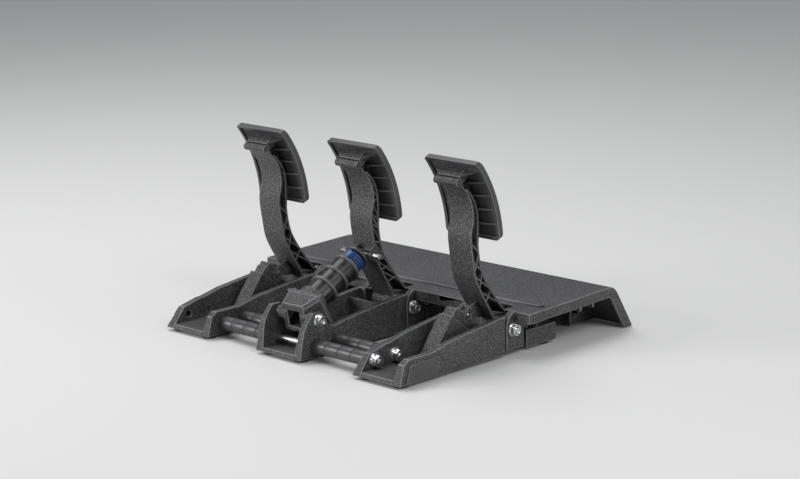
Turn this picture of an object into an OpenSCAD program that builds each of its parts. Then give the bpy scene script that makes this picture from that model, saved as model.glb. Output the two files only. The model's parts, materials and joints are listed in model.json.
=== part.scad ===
// Three-pedal floor set: clutch, brake and throttle modules on two tie rods, with one heel plate.
// X runs to the driver's right, Y away from the driver, Z up. All lengths are in millimetres.
// "Back" distances are measured from the toe edge towards the driver, heights from a module's underside.

/* [Modules] */
// Distance between neighbouring pedal modules
module_pitch = 120; // [115:1:140]
// Outside width of one module
module_w = 56.4; // [55:0.2:60]
// Length of one module from toe to tail
module_l = 203; // [198:1:210]
// Height of the side modules' walls at the toe
toe_h = 21.8; // [20:0.2:25]
// Height of the walls in front of the pivots
wall_h = 33.7; // [32:0.1:35]
// Height of the brake module's toe ears
toe_ear_h = 39.5; // [38:0.5:42]
// Height of the tail walls under the heel plate
tail_h = 16; // [12:0.5:18]
// Wall thickness at the top edge
wall_t = 5; // [4:0.2:5.6]
// Wall thickness at the floor
wall_root_t = 8.4; // [7:0.2:9]
// Floor thickness
floor_t = 4; // [3:0.5:5]
// Height of the rubber feet
foot_h = 3; // [2:0.5:5]
// Diameter of the rubber feet
foot_d = 14; // [10:1:16]
// Diameter of the rig holes in the floors
rig_hole_d = 6.6; // [5.5:0.1:8]
// Distance between the two rig holes of a module
rig_hole_step = 20; // [16:1:24]
// Thickness of the bare side plates
plate_t = 1.2; // [0.8:0.1:2]

/* [Pivots] */
// Distance of the pedal pivots behind the toe edge
pivot_back = 143.2; // [140:0.2:146]
// Height of the pedal pivots
pivot_h = 21.2; // [20.5:0.1:22]
// Diameter of the pivot bolts
bolt_d = 6; // [5:0.5:6.5]
// Radial clearance of a bolt in its hole
bolt_gap = 0.15; // [0.1:0.05:0.3]
// Diameter of the flange under a bolt head or nut
flange_d = 13; // [12:0.5:14]
// Height of a bolt head or nut with its flange
head_h = 5.4; // [4.5:0.1:6]
// Outside diameter of the sleeves in the pedal hubs
sleeve_d = 9; // [8.5:0.1:10]
// Outside diameter of the thrust washers beside the hubs
thrust_d = 14; // [13:0.5:15]
// Radial clearance of a running fit
run_gap = 0.05; // [0.02:0.01:0.1]
// Gap between parts that move past each other
side_gap = 0.3; // [0.2:0.05:0.5]

/* [Tie rods] */
// Diameter of the tie rods
rod_d = 6; // [5:0.5:7]
// Height of the tie rods
rod_h = 10; // [9.5:0.1:11]
// Distance of the front rod behind the toe edge
front_rod_back = 20; // [18:0.5:22]
// Distance of the rear rod behind the toe edge
rear_rod_back = 45; // [43:0.5:47]
// Outside diameter of the spacers
spacer_d = 13; // [11:0.5:14]
// Spacers on a rod in each gap between modules
spacers_per_gap = 4; // [2:1:6]

/* [Heel plate] */
// Width of the heel plate
heel_w = 333.4; // [320:0.2:350]
// Length of the heel plate from its front edge to its tip
heel_l = 145.5; // [140:0.5:160]
// Height of the heel plate's top at its front edge
heel_h = 37; // [36:0.5:40]
// Rise of the top from the front edge to the bend
heel_rise = 2.9; // [0:0.1:6]
// Horizontal run of the sloping back
heel_slope_run = 26.5; // [22:0.5:34]
// Outside radius of the bend
heel_bend_r = 12; // [10.5:0.5:16]
// Thickness of the plate
heel_t = 3.5; // [3:0.1:4.5]
// Depth of the edge lips
heel_lip = 9.5; // [8:0.5:10]
// Thickness of the edge lips
lip_t = 3; // [2:0.5:4]
// Thickness of the stiffening ribs
rib_t = 2.5; // [2:0.5:4]
// Depth of the stiffening ribs
rib_h = 13; // [11:0.5:16]
// Distance of the keels from the ends of the heel plate
keel_in = 42; // [34:0.5:50]
// Length of the keels from the plate's tip
keel_l = 40; // [34:0.5:44]
// Width of the window in each keel
keel_window_w = 9; // [6:0.5:12]
// Height of the window in each keel
keel_window_h = 16; // [10:0.5:18]
// Thickness of the pivot ears
ear_t = 6; // [5:0.5:7]
// Distance of the heel stop strip behind the front edge
strip_back = 27.5; // [22:0.5:40]
// Width of the heel stop strip
strip_w = 5; // [3:0.5:8]
// Height of the heel stop strip
strip_h = 1.4; // [0.8:0.1:2.5]
// Diameter of the posts that stand on the tails
post_d = 8; // [7:0.5:9]
// Diameter of the heel plate screws
heel_screw_d = 4; // [3:0.5:4.5]

/* [Arms] */
// Width of an arm
arm_w = 27; // [24:0.5:28]
// Thickness of an arm's front and rear flanges
arm_skin = 1.9; // [1.6:0.1:2.4]
// Thickness of an arm's middle web
arm_web = 4; // [3:0.5:6]
// Thickness of the braces in the side pockets
brace_t = 1.4; // [1.2:0.1:1.8]
// Diameter of the hubs
hub_d = 23; // [21:0.5:24]

/* [Pads] */
// Width of a pad
pad_w = 62.7; // [58:0.1:70]
// Radius of a pad's face
pad_r = 125; // [122:0.5:130]
// Length of a pad from edge to edge
pad_l = 77.3; // [74:0.1:80]
// Depth of a pad with its rim
pad_t = 5.4; // [5:0.2:7]
// Thickness of a pad's face
pad_skin = 3.5; // [3:0.1:4]
// Width of a pad's rim
pad_rim = 3; // [2:0.2:4]
// Radius of a pad's corners
pad_corner = 4.5; // [4:0.5:8]
// Diameter of the pad screws
pad_screw_d = 5; // [4:0.5:5]

/* [Spring units] */
// Slope of the spring units' axes
unit_tilt = 52; // [50:0.5:54]
// Width of a spring unit's housing
unit_w = 16; // [15:0.2:16.2]
// Depth of a spring unit's housing
unit_d = 36; // [34:0.5:38]
// Wall thickness of a housing
unit_wall = 2; // [1.6:0.1:2.2]
// Distance between a unit's two pins
unit_l = 30; // [29:0.5:31]
// Distance from the lower pin to the housing's top
unit_top = 19; // [18:0.2:19.4]
// Diameter of a unit's pins
unit_pin_d = 5; // [4:0.5:5.5]
// Radial clearance of the open joint at a plunger's pin
open_gap = 0.7; // [0.6:0.05:0.9]
// Thickness of the lugs that hold a unit's pins
lug_t = 4; // [3:0.5:4.5]
// Width of the arm's tongue in a plunger's fork
fork_w = 4.4; // [4:0.2:5]
// Outside diameter of a return spring
return_d = 8; // [7:0.2:8]
// Wire diameter of a return spring
return_wire = 1.2; // [1:0.1:1.4]
// Pitch of a return spring
return_pitch = 2.6; // [2.4:0.1:3.6]

/* [Brake] */
// Distance of the hood's pivot behind the toe edge
hood_back = 24.5; // [24:0.1:26]
// Height of the hood's pivot
hood_h = 32.2; // [31.5:0.1:33]
// Diameter of the hood's pivot bolts
hood_bolt_d = 6; // [5:0.5:6.5]
// Half width of the hood at its toe end
hood_toe_w = 14.9; // [14:0.1:15.5]
// Half width of the hood at its plate
hood_plate_w = 20.4; // [19.5:0.1:20.8]
// Wall thickness of the hood
hood_wall = 2.5; // [2:0.1:3]
// Distance from the hood's pivot to its plate
hood_l = 15.3; // [14.5:0.1:16]
// Thickness of the hood's plate
hood_plate_t = 3.2; // [2.6:0.1:4]
// Diameter of the push rod
push_d = 8; // [7:0.2:8.4]
// Body diameter of the elastomers
elastomer_d = 24.5; // [22:0.5:26]
// Flange diameter of the elastomers
elastomer_flange_d = 28.6; // [27:0.2:30]
// Thickness of the elastomers' flanges
elastomer_flange_t = 3; // [2:0.2:4]
// Length of one elastomer
elastomer_l = 15.6; // [14.5:0.1:15.8]
// Outside diameter of the brake spring
brake_spring_d = 21.5; // [20:0.5:23]
// Wire diameter of the brake spring
brake_wire = 1.8; // [1.5:0.1:2]
// Pitch of the brake spring
brake_pitch = 2.7; // [2.6:0.1:3.4]
// Diameter of the cross pin
cross_d = 5; // [4:0.2:5]
// Length of the cross pin
cross_l = 47.5; // [44:0.5:50]

/* [Hidden] */
$fn = 48;

nylon = "#2c2c2f";
satin_black = "#1a1a1c";
rubber_black = "#141415";
zinc = "#c2c4c6";
spring_blue = "#2a5db0";
steel = "#a9acb0";
board_green = "#1f4d33";

// Places that several pieces share
set_l = pivot_back + 1.8 + heel_l;
z0 = foot_h;
floor_z = z0 + floor_t;
half_w = module_w / 2;
throttle_x = module_pitch;
clutch_x = -module_pitch;
module_xs = [throttle_x, 0, clutch_x];
pivot = [-pivot_back, z0 + pivot_h];

// Points in the Y-Z plane
function unit(v) = v / norm(v);
function left(v) = [-v[1], v[0]];
function lerp(a, b, k) = a + (b - a) * k;
function reverse(p) = [for (i = [len(p) - 1:-1:0]) p[i]];
function shift(p, o) = [for (q = p) q + o];
function meet(p, u, q, v) =
    p + u * (((q - p)[0] * v[1] - (q - p)[1] * v[0]) / (u[0] * v[1] - u[1] * v[0]));

// Open path moved sideways by d, to the left of its direction
function side_path(p, d) =
    let (n = len(p), u = [for (i = [0:n - 2]) unit(p[i + 1] - p[i])])
    [for (i = [0:n - 1])
        i == 0 ? p[0] + left(u[0]) * d
        : i == n - 1 ? p[i] + left(u[n - 2]) * d
        : norm(u[i] - u[i - 1]) < 0.001 ? p[i] + left(u[i]) * d
        : meet(p[i] + left(u[i - 1]) * d, u[i - 1], p[i] + left(u[i]) * d, u[i])];

// Arc of radius r that rounds the corner k between a and b
function fillet(a, k, b, r, n = 6) =
    let (u = unit(a - k), v = unit(b - k), half = acos(u * v) / 2,
         c = k + unit(u + v) * r / sin(half),
         s = k + u * r / tan(half) - c, e = k + v * r / tan(half) - c,
         a0 = atan2(s[1], s[0]), turn = (atan2(e[1], e[0]) - a0 + 540) % 360 - 180)
    [for (i = [0:n]) c + r * [cos(a0 + turn * i / n), sin(a0 + turn * i / n)]];

// Smooth curve through the points p, with n steps between neighbours
function curve(p, n = 4) =
    [for (i = [0:len(p) - 2], j = [0:(i == len(p) - 2 ? n : n - 1)])
        let (t = j / n, b = p[i], c = p[i + 1],
             a = i == 0 ? 2 * b - c : p[i - 1],
             d = i == len(p) - 2 ? 2 * c - b : p[i + 2])
        0.5 * (2 * b + (c - a) * t + (2 * a - 5 * b + 4 * c - d) * t * t
            + (3 * b - a - 3 * c + d) * t * t * t)];
function along(p, k) = p[round(k * (len(p) - 1))];

// Puts a model with its toe edge at Y = 0 round the middle of the set
module place() translate([0, set_l / 2, 0]) children();

// A Y-Z outline, drawn out along X
module across(w, p) rotate([90, 0, 90]) linear_extrude(w, center = true) polygon(p);
module slab(x0, x1, p)
    translate([(x0 + x1) / 2, 0, 0]) across(abs(x1 - x0), p);
module both_sides() for (s = [0, 1]) mirror([s, 0, 0]) children();

// A round bar along X, from x0 to x1, centred on the Y-Z point p
module bar(d, x0, x1, p, steps = $fn)
    translate([min(x0, x1), p[0], p[1]])
        rotate([0, 90, 0]) cylinder(d = d, h = abs(x1 - x0), $fn = steps);
module hex_bar(flats, x0, x1, p)
    translate([min(x0, x1), p[0], p[1]])
        rotate([0, 90, 0]) cylinder(d = flats / cos(30), h = abs(x1 - x0), $fn = 6);

// Modules
function wall_z(k) = z0 + lerp(toe_h, wall_h, k);
wall_end = pivot_back - 9.2;
step_l = 6;
tongue_w = half_w - wall_t - side_gap;
tongue_in = tongue_w - wall_t;
ear_front = pivot_back - 8.2;
ear_rear = pivot_back + 14.8;
tail_start = pivot_back + 19.8;
side_wall = [[0, z0], [-5.3, wall_z(-0.33)], [-11.4, wall_z(0)], [-40, wall_z(0)],
    [-62.5, wall_z(0.4)], [-101, wall_z(0.77)], [7 - wall_end, wall_z(1)], [-wall_end, wall_z(1)],
    [-wall_end, z0]];
hood_pivot = [-hood_back, z0 + hood_h];
toe_ear_z = z0 + toe_ear_h;
brake_wall = [[0, z0], [-2.8, z0 + 14.6], [-5.5, z0 + 24.8], [-9.4, z0 + 31.3],
    [-16.9, toe_ear_z], [-27.2, toe_ear_z], [-30.6, toe_ear_z - 4.4], [-37, z0 + 25.8],
    [-43.6, z0 + 23.8], [-56, wall_z(0.37)], [-75, wall_z(0.58)], [-101, wall_z(0.82)],
    [7 - wall_end, wall_z(1)], [-wall_end, wall_z(1)], [-wall_end, z0]];
draft = (wall_root_t - wall_t) / (wall_h - floor_t);
function inner_x(z) = half_w - wall_root_t + draft * (z - floor_z);
channel_top = z0 + 60;
// The outer modules' right-hand walls lean further back at the toe
toe_lean = [[1, z0 + 0.2], [-15.5, wall_z(0) - 4.6], [-22, wall_z(0) - 3.2], [-45, wall_z(0) + 2],
    [-45, channel_top], [1, channel_top]];

module channel_walls(outline)
    intersection() {
        across(2 * module_w, outline);
        translate([0, 1, 0]) rotate([90, 0, 0]) linear_extrude(wall_end + 2) difference() {
            translate([-half_w, 0]) square([module_w, channel_top]);
            polygon([[-inner_x(floor_z), floor_z], [inner_x(floor_z), floor_z],
                [inner_x(channel_top), channel_top], [-inner_x(channel_top), channel_top]]);
        }
    }

// Narrow rear part that stands between the heel plate's ears and carries the pivot
tongue_h = wall_h - 1.5;
tongue_rear = pivot_back + 12;
module tongue()
    both_sides() {
        slab(tongue_in, tongue_w, concat([[step_l - wall_end, z0], [step_l - wall_end, z0 + tongue_h]],
            fillet([-wall_end, z0 + tongue_h], [-tongue_rear, z0 + tongue_h], [-tongue_rear, z0], 9),
            [[-tongue_rear, z0]]));
        wall_step();
    }

// Block that leads from the outer wall in to the tongue, with its outer corner cut back
module wall_step()
    translate([0, 0, z0]) linear_extrude(wall_h) polygon([[tongue_in, step_l - wall_end],
        [half_w, step_l - wall_end], [half_w, 3 - wall_end], [half_w - 3, -wall_end],
        [tongue_in, -wall_end]]);

heel_head_d = heel_screw_d * 2;
heel_head_h = heel_screw_d;
tail_boss_d = heel_head_d + 4;
post_x = half_w - tail_boss_d / 2 - 0.2;
post_back = pivot_back + 37.8;
module tail()
    difference() {
        union() {
            translate([-tongue_w, -module_l, z0])
                cube([2 * tongue_w, module_l - wall_end + step_l, floor_t]);
            translate([-half_w, -module_l, z0]) cube([module_w, module_l - tail_start, floor_t]);
            both_sides() translate([half_w - wall_t, -module_l, z0])
                cube([wall_t, module_l - tail_start, tail_h]);
            translate([-half_w, -tail_start - 3, z0]) cube([module_w, 3, tail_h]);
            both_sides() translate([post_x, -post_back, z0]) cylinder(d = tail_boss_d, h = tail_h);
        }
        both_sides() translate([post_x, -post_back, z0 - 1]) {
            cylinder(d = heel_screw_d + 2 * bolt_gap, h = tail_h + 2);
            cylinder(d = heel_head_d + 0.8, h = heel_head_h + 1);
        }
    }

rig_hole_back = 44;
module rig_holes()
    for (s = [-0.5, 0.5]) translate([0, -rig_hole_back + s * rig_hole_step, z0 - 1])
        cylinder(d = rig_hole_d, h = floor_t + 2);

rod_points = [[-front_rod_back, z0 + rod_h], [-rear_rod_back, z0 + rod_h]];
rod_seat_x = half_w - 7;
module rod_holes(sides, seats)
    for (p = rod_points, s = sides) {
        bar(rod_d + 2 * bolt_gap, s * (inner_x(floor_z) - 2), s * (half_w + 1), p);
        if (seats) bar(flange_d + 2, s * (rod_seat_x - 6), s * rod_seat_x, p);
    }

unit_axis = [-cos(unit_tilt), sin(unit_tilt)];
unit_side = [sin(unit_tilt), cos(unit_tilt)];
plunger_pin = pivot + [31.2, 14.8];
housing_pin = plunger_pin - unit_axis * unit_l;
lug_x = unit_w / 2 + side_gap + 0.1;
lug_r = 5;
module housing_lugs()
    both_sides() difference() {
        union() {
            bar(2 * lug_r, lug_x, lug_x + lug_t, housing_pin);
            slab(lug_x, lug_x + lug_t, [housing_pin + [lug_r, 0], housing_pin - [lug_r, 0],
                [housing_pin[0] - 2 * lug_r, floor_z - 1], [housing_pin[0] + 2 * lug_r, floor_z - 1]]);
        }
        bar(unit_pin_d + 2 * run_gap, lug_x - 1, lug_x + lug_t + 1, housing_pin);
    }

module pivot_holes()
    bar(bolt_d + 2 * bolt_gap, -half_w, half_w, pivot);

module side_base(inner_side) {
    difference() {
        union() {
            channel_walls(side_wall);
            tongue();
            tail();
        }
        pivot_holes();
        rig_holes();
        rod_holes([inner_side], true);
        rod_holes([-inner_side], false);
        slab(inner_x(floor_z) - 0.6, half_w + 1, toe_lean);
    }
    housing_lugs();
}

// Cross wall of the brake module, with the stop post on its rim
cross_wall_back = 111;
cross_wall_t = 3;
cross_wall_h = 28;
stop_post_d = 4.5;
stop_post_h = 5;
module brake_base_solid() {
    difference() {
        union() {
            channel_walls(brake_wall);
            tongue();
            tail();
            translate([0, -cross_wall_back, floor_z - 1]) rotate([90, 0, 0]) linear_extrude(cross_wall_t)
                polygon([[-inner_x(floor_z) - 1, 0], [inner_x(floor_z) + 1, 0],
                    [inner_x(z0 + cross_wall_h) + 1, cross_wall_h - floor_t + 1],
                    [-inner_x(z0 + cross_wall_h) - 1, cross_wall_h - floor_t + 1]]);
        }
        pivot_holes();
        rod_holes([-1, 1], false);
        bar(hood_bolt_d + 2 * bolt_gap, -half_w - 1, half_w + 1, hood_pivot);
        both_sides() bar(flange_d + 2, half_w - 1.2, half_w + 1, hood_pivot);
    }
    translate([stop_post_d - inner_x(z0 + cross_wall_h), -cross_wall_back - cross_wall_t / 2,
        z0 + cross_wall_h - 1]) cylinder(d = stop_post_d, h = stop_post_h + 1);
}

module throttle_base() color(nylon) place() translate([throttle_x, 0, 0]) side_base(-1);
module clutch_base() color(nylon) place() translate([clutch_x, 0, 0]) side_base(1);
module brake_base() color(nylon) place() brake_base_solid();

foot_x = half_w - foot_d / 2 - 2;
foot_backs = [foot_d / 2 + 3, module_l - foot_d / 2 - 3];
module rubber_feet()
    color(rubber_black) place() for (x = module_xs, s = [-1, 1], b = foot_backs)
        translate([x + s * foot_x, -b, 0]) {
            cylinder(d1 = foot_d - 2, d2 = foot_d, h = 1);
            translate([0, 0, 1]) cylinder(d = foot_d, h = foot_h - 1);
        }

// Bare plates on the outer faces of the outer modules
side_plate = [[-7, z0 + 1.2], [-11.3, z0 + 15.6], [-14, z0 + 17], [-41, z0 + 17.4],
    [-45.9, z0 + 13.4], [-45.9, z0 + 1.2]];
module throttle_side_plate()
    color(satin_black) place() difference() {
        slab(throttle_x + half_w, throttle_x + half_w + plate_t, side_plate);
        slab(throttle_x, throttle_x + module_w, shift(toe_lean, [0, -0.8]));
    }
module clutch_side_plate()
    color(satin_black) place() slab(clutch_x - half_w, clutch_x - half_w - plate_t, side_plate);

// Tie rods with their spacers, washers and nuts
seat_x = module_pitch - rod_seat_x;
washer_t = 1.6;
nut_h = head_h;
rod_half = seat_x + washer_t + nut_h + 1.5;
gap_l = module_pitch - module_w;
spacer_step = gap_l / spacers_per_gap;
spacer_l = spacer_step - 0.1;
module tie_rod(p) color(zinc) place() bar(rod_d, -rod_half, rod_half, p);
module front_tie_rod() tie_rod(rod_points[0]);
module rear_tie_rod() tie_rod(rod_points[1]);

spacer_edge = 0.5;
module spacer()
    rotate_extrude() polygon([[rod_d / 2 + bolt_gap, 0], [spacer_d / 2 - spacer_edge, 0],
        [spacer_d / 2, spacer_edge], [spacer_d / 2, spacer_l - spacer_edge],
        [spacer_d / 2 - spacer_edge, spacer_l], [rod_d / 2 + bolt_gap, spacer_l]]);
module rod_spacers()
    color(satin_black) place() for (p = rod_points, s = [0, 1], i = [0:spacers_per_gap - 1])
        mirror([s, 0, 0]) translate([half_w + i * spacer_step + 0.05, p[0], p[1]])
            rotate([0, 90, 0]) spacer();

module rod_washers()
    color(zinc) place() for (p = rod_points) both_sides() difference() {
        bar(flange_d + 1, seat_x, seat_x + washer_t, p);
        bar(rod_d + 2 * bolt_gap, seat_x - 1, seat_x + washer_t + 1, p);
    }

// Hexagon nut with a round flange, its seat at x0 and its body towards x0 + dir
flange_t = 1.4;
module flange_nut(d, x0, dir, p, h)
    difference() {
        union() {
            bar(flange_d, x0, x0 + dir * flange_t, p);
            hex_bar(d * 1.67, x0 + dir * flange_t, x0 + dir * h, p);
        }
        bar(d + 2 * run_gap, x0 - dir, x0 + dir * (h + 1), p);
    }
module rod_nuts()
    color(zinc) place() for (p = rod_points) both_sides()
        flange_nut(rod_d, seat_x + washer_t, 1, p, nut_h);

// Flanged bolt with a hexagon socket, its seat at x0, its shank from there to x1
module flange_bolt(d, x0, x1, p) {
    dir = x0 < x1 ? -1 : 1;
    bar(d, x0, x1, p);
    bar(flange_d, x0, x0 + dir * flange_t, p);
    difference() {
        bar(d * 1.67, x0 + dir * flange_t, x0 + dir * head_h, p);
        hex_bar(d * 0.67, x0 + dir * 2.4, x0 + dir * (head_h + 1), p);
    }
}
ear_in = half_w - wall_t;
ear_out = ear_in + ear_t;
module pivot_bolts()
    color(zinc) place() for (x = module_xs) translate([x, 0, 0])
        flange_bolt(bolt_d, ear_out, -ear_out - head_h - 0.4, pivot);
module pivot_nuts()
    color(zinc) place() for (x = module_xs) translate([x, 0, 0])
        flange_nut(bolt_d, -ear_out, -1, pivot, head_h);
module pivot_sleeves()
    color(steel) place() for (x = module_xs) translate([x, 0, 0]) difference() {
        bar(sleeve_d, -tongue_in, tongue_in, pivot);
        bar(bolt_d + 2 * run_gap, -half_w, half_w, pivot);
    }
module thrust_washers()
    color(satin_black) place() for (x = module_xs) translate([x, 0, 0]) both_sides() difference() {
        bar(thrust_d, arm_w / 2 + 0.1, tongue_in, pivot);
        bar(sleeve_d + 2 * run_gap, 0, half_w, pivot);
    }

// Heel plate
heel_front = -(pivot_back + 1.8);
heel_tip = heel_front - heel_l;
tip_gap = 1;
heel_top = [heel_front, z0 + heel_h];
heel_corner = [heel_tip + heel_slope_run, z0 + heel_h + heel_rise];
heel_drop = unit([heel_tip, tip_gap] - heel_corner);
heel_end = [heel_tip, tip_gap] + heel_drop * 20;
// Line of the plate's section, moved inwards by d and long enough to be cut at both ends
function heel_line(d) =
    let (far = heel_top + (heel_top - heel_corner) * 0.2,
         p = side_path([far, heel_corner, heel_end], d))
    concat([p[0]], fillet(p[0], p[1], p[2], max(heel_bend_r - d, 0.5)), [p[2]]);
function heel_z(y) = heel_top[1] + (heel_top[0] - y) * heel_rise / (heel_top[0] - heel_corner[0]);
heel_under = heel_top[1] - heel_t;
module heel_band(w, d0, d1) across(w, concat(heel_line(d0), reverse(heel_line(d1))));

module heel_skin()
    intersection() {
        translate([-heel_w / 2, heel_tip, tip_gap]) cube([heel_w, heel_l, 100]);
        union() {
            heel_band(heel_w, 0, heel_t);
            both_sides() translate([(heel_w - lip_t) / 2, 0, 0]) heel_band(lip_t, 0, heel_lip);
            intersection() {
                heel_band(heel_w, 0, heel_lip);
                translate([-heel_w / 2, heel_front - lip_t, 0]) cube([heel_w, lip_t, 100]);
            }
            heel_ribs();
            heel_keels();
        }
    }

// Ribs under the plate: two across, and four along it between and beside the modules
rib_backs = [heel_l * 0.5, heel_l * 0.62];
rib_xs = [module_pitch * 0.37, module_pitch * 0.63];
module heel_ribs()
    intersection() {
        heel_band(heel_w, 0.5, rib_h);
        union() {
            for (b = rib_backs) translate([-heel_w / 2, heel_front - b, 0]) cube([heel_w, rib_t, 100]);
            for (x = rib_xs) both_sides()
                translate([x - rib_t / 2, heel_tip, 0]) cube([rib_t, heel_l * 0.58, 100]);
        }
    }

// Keels near the plate's ends: walls that stand as low as its tip, each with a window behind its front post
keel_post = 3;
keel_sill = 8;
module heel_keels()
    both_sides() translate([heel_w / 2 - keel_in, 0, 0]) difference() {
        intersection() {
            across(rib_t, concat(heel_line(0.5), [[heel_front, heel_end[1]]]));
            translate([-rib_t, heel_tip - 1, heel_end[1] - 1]) cube([2 * rib_t, keel_l + 1, 200]);
        }
        translate([-rib_t, heel_tip + keel_l - keel_post - keel_window_w, tip_gap + keel_sill])
            cube([2 * rib_t, keel_window_w, keel_window_h]);
    }

module heel_ear()
    slab(ear_in, ear_out, concat([[-ear_front, z0 + 3]],
        fillet([-ear_front, 0], [-ear_front, heel_z(-ear_front)], [-ear_rear, heel_z(-ear_rear)], 13),
        [[-ear_rear, heel_z(-ear_rear)], [-ear_rear, z0 + 3]]));

notch_w = arm_w / 2 + 3;
notch_back = pivot_back + 16.8;
module heel_posts()
    for (x = module_xs) translate([x, 0, 0]) both_sides()
        translate([post_x, -post_back, z0 + tail_h])
            cylinder(d = post_d, h = heel_z(-post_back) - heel_t / 2 - z0 - tail_h);
heel_screw_l = tail_h + 12;

module heel_plate()
    color(nylon) place() difference() {
        union() {
            difference() {
                heel_skin();
                for (x = module_xs) {
                    translate([x - notch_w, -notch_back, z0 + 20]) cube([2 * notch_w, notch_back, 60]);
                    translate([x - ear_in, -notch_back, 0]) cube([2 * ear_in, notch_back, heel_under]);
                }
            }
            for (x = module_xs) translate([x, 0, 0]) both_sides() heel_ear();
            heel_posts();
            board_posts();
        }
        for (x = module_xs) translate([x, 0, 0]) {
            pivot_holes_ears();
            both_sides() translate([post_x, -post_back, z0])
                cylinder(d = heel_screw_d + 2 * run_gap, h = heel_screw_l - heel_head_h + 1);
        }
        for (p = board_holes) translate([p[0], p[1], board_z - 1])
            cylinder(d = board_screw_d + 2 * run_gap, h = heel_under - board_z);
    }
module pivot_holes_ears() bar(bolt_d + 2 * bolt_gap, -ear_out - 1, ear_out + 1, pivot);

module heel_stop_strip()
    color(satin_black) place() {
        y0 = heel_front - strip_back;
        y1 = y0 + strip_w;
        half = heel_w / 2 - 5;
        intersection() {
            linear_extrude(200)
                polygon([[-half, y0], [strip_w - half, y1], [half - strip_w, y1], [half, y0]]);
            across(heel_w, [[y0, heel_z(y0)], [y1, heel_z(y1)],
                [y1 - 0.8, heel_z(y1) + strip_h], [y0 + 0.8, heel_z(y0) + strip_h]]);
        }
    }

module heel_screws()
    color(zinc) place() for (x = module_xs) translate([x, 0, 0]) both_sides()
        translate([post_x, -post_back, z0]) {
            difference() {
                cylinder(d = heel_head_d, h = heel_head_h);
                translate([0, 0, -1]) cylinder(d = heel_screw_d * 0.9, h = heel_head_h * 0.6 + 1, $fn = 6);
            }
            cylinder(d = heel_screw_d, h = heel_screw_l - heel_head_h);
        }

// Arms, drawn round the pivot: the lower half is a girder, the upper half a strap
front_points = [[11.5, 14.5], [23, 32.6], [30.6, 47.2], [34.3, 64.9], [36.9, 82.3], [36.4, 91],
    [33.6, 101.2], [35.7, 115.8], [42.6, 127.6], [52.3, 137.7]];
rear_points = [[-9, 12.3], [3.7, 27.4], [15.2, 42.9], [22.8, 57.6], [26.4, 75.3], [26.3, 87],
    [27, 107.9], [33.8, 123.2], [49.5, 137.9]];
arm_front = curve(front_points);
arm_rear = curve(rear_points);
girder_top = 88;
function below(p, z) = [for (q = p) if (q[1] < z) q];
girder_front = below(arm_front, girder_top - 5);
girder_rear = below(arm_rear, girder_top);
arm_top = [51.6, 137.3];
arm_top_d = 7;
arm_outline = shift(concat([[5, 0]], arm_front, reverse(arm_rear), [[-hub_d / 2, 0]]), pivot);
pocket_front = below(arm_front, 130);
pocket_rear = below(arm_rear, 126);
pocket = shift(concat(side_path(pocket_front, arm_skin), reverse(side_path(pocket_rear, -arm_skin))), pivot);
pocket_edge = 0.4;
// Outline inside the flanges, for what stands in the pockets
web_outline = shift(concat(side_path(pocket_front, arm_skin / 2),
    reverse(side_path(pocket_rear, -arm_skin / 2))), pivot);

module brace(p, q) {
    n = left(unit(q - p)) * brace_t / 2;
    across(arm_w - 2 * pocket_edge, [p + n, q + n, q - n, p - n]);
}
// Braces between the two flanges: crossed ones in the first cells, then a zigzag
girder_steps = [0.1, 0.32, 0.54, 0.77, 1];
module braces(f, r, steps, crossed)
    intersection() {
        across(2 * arm_w, web_outline);
        for (i = [0:len(steps) - 2]) {
            if (i < crossed || i % 2 == 0)
                brace(pivot + along(f, steps[i]), pivot + along(r, steps[i + 1]));
            if (i < crossed || i % 2 == 1)
                brace(pivot + along(r, steps[i]), pivot + along(f, steps[i + 1]));
        }
    }
screw_boss_d = pad_screw_d + 4;
module arm_screw_bosses()
    intersection() {
        across(arm_w, web_outline);
        for (a = pad_screw_angles) pad_screw_at(a) cylinder(d = screw_boss_d, h = 2 * pad_screw_l);
    }

module arm_body()
    difference() {
        union() {
            difference() {
                across(arm_w, arm_outline);
                both_sides() slab(arm_web / 2, arm_w, pocket);
            }
            arm_screw_bosses();
            bar(hub_d, -arm_w / 2, arm_w / 2, pivot);
            bar(arm_top_d, -arm_w / 2, arm_w / 2, pivot + arm_top);
            children();
        }
        bar(sleeve_d + 2 * run_gap, -arm_w, arm_w, pivot);
        arm_screw_holes();
    }

// Tongue that reaches forward into the plunger's fork
fork_r = 4.4;
module unit_tongue() {
    bar(2 * fork_r, -fork_w / 2, fork_w / 2, plunger_pin);
    across(fork_w, [plunger_pin + [-0.5, fork_r * 0.99], pivot + [17, 25], pivot + [4, 8],
        plunger_pin + [-1.5, -fork_r * 0.9]]);
}
magnet_d = 3.6;
magnet_t = 2;
magnet_at = pivot + [8.2, 4];
module side_arm()
    difference() {
        arm_body() {
            unit_tongue();
            braces(girder_front, girder_rear, girder_steps, 3);
        }
        bar(unit_pin_d + 2 * run_gap, -arm_w, arm_w, plunger_pin);
        bar(magnet_d + 2 * run_gap, arm_w / 2 - magnet_t, arm_w / 2 + 1, magnet_at);
    }
module throttle_arm() color(nylon) place() translate([throttle_x, 0, 0]) side_arm();
module clutch_arm() color(nylon) place() translate([clutch_x, 0, 0]) side_arm();

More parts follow.
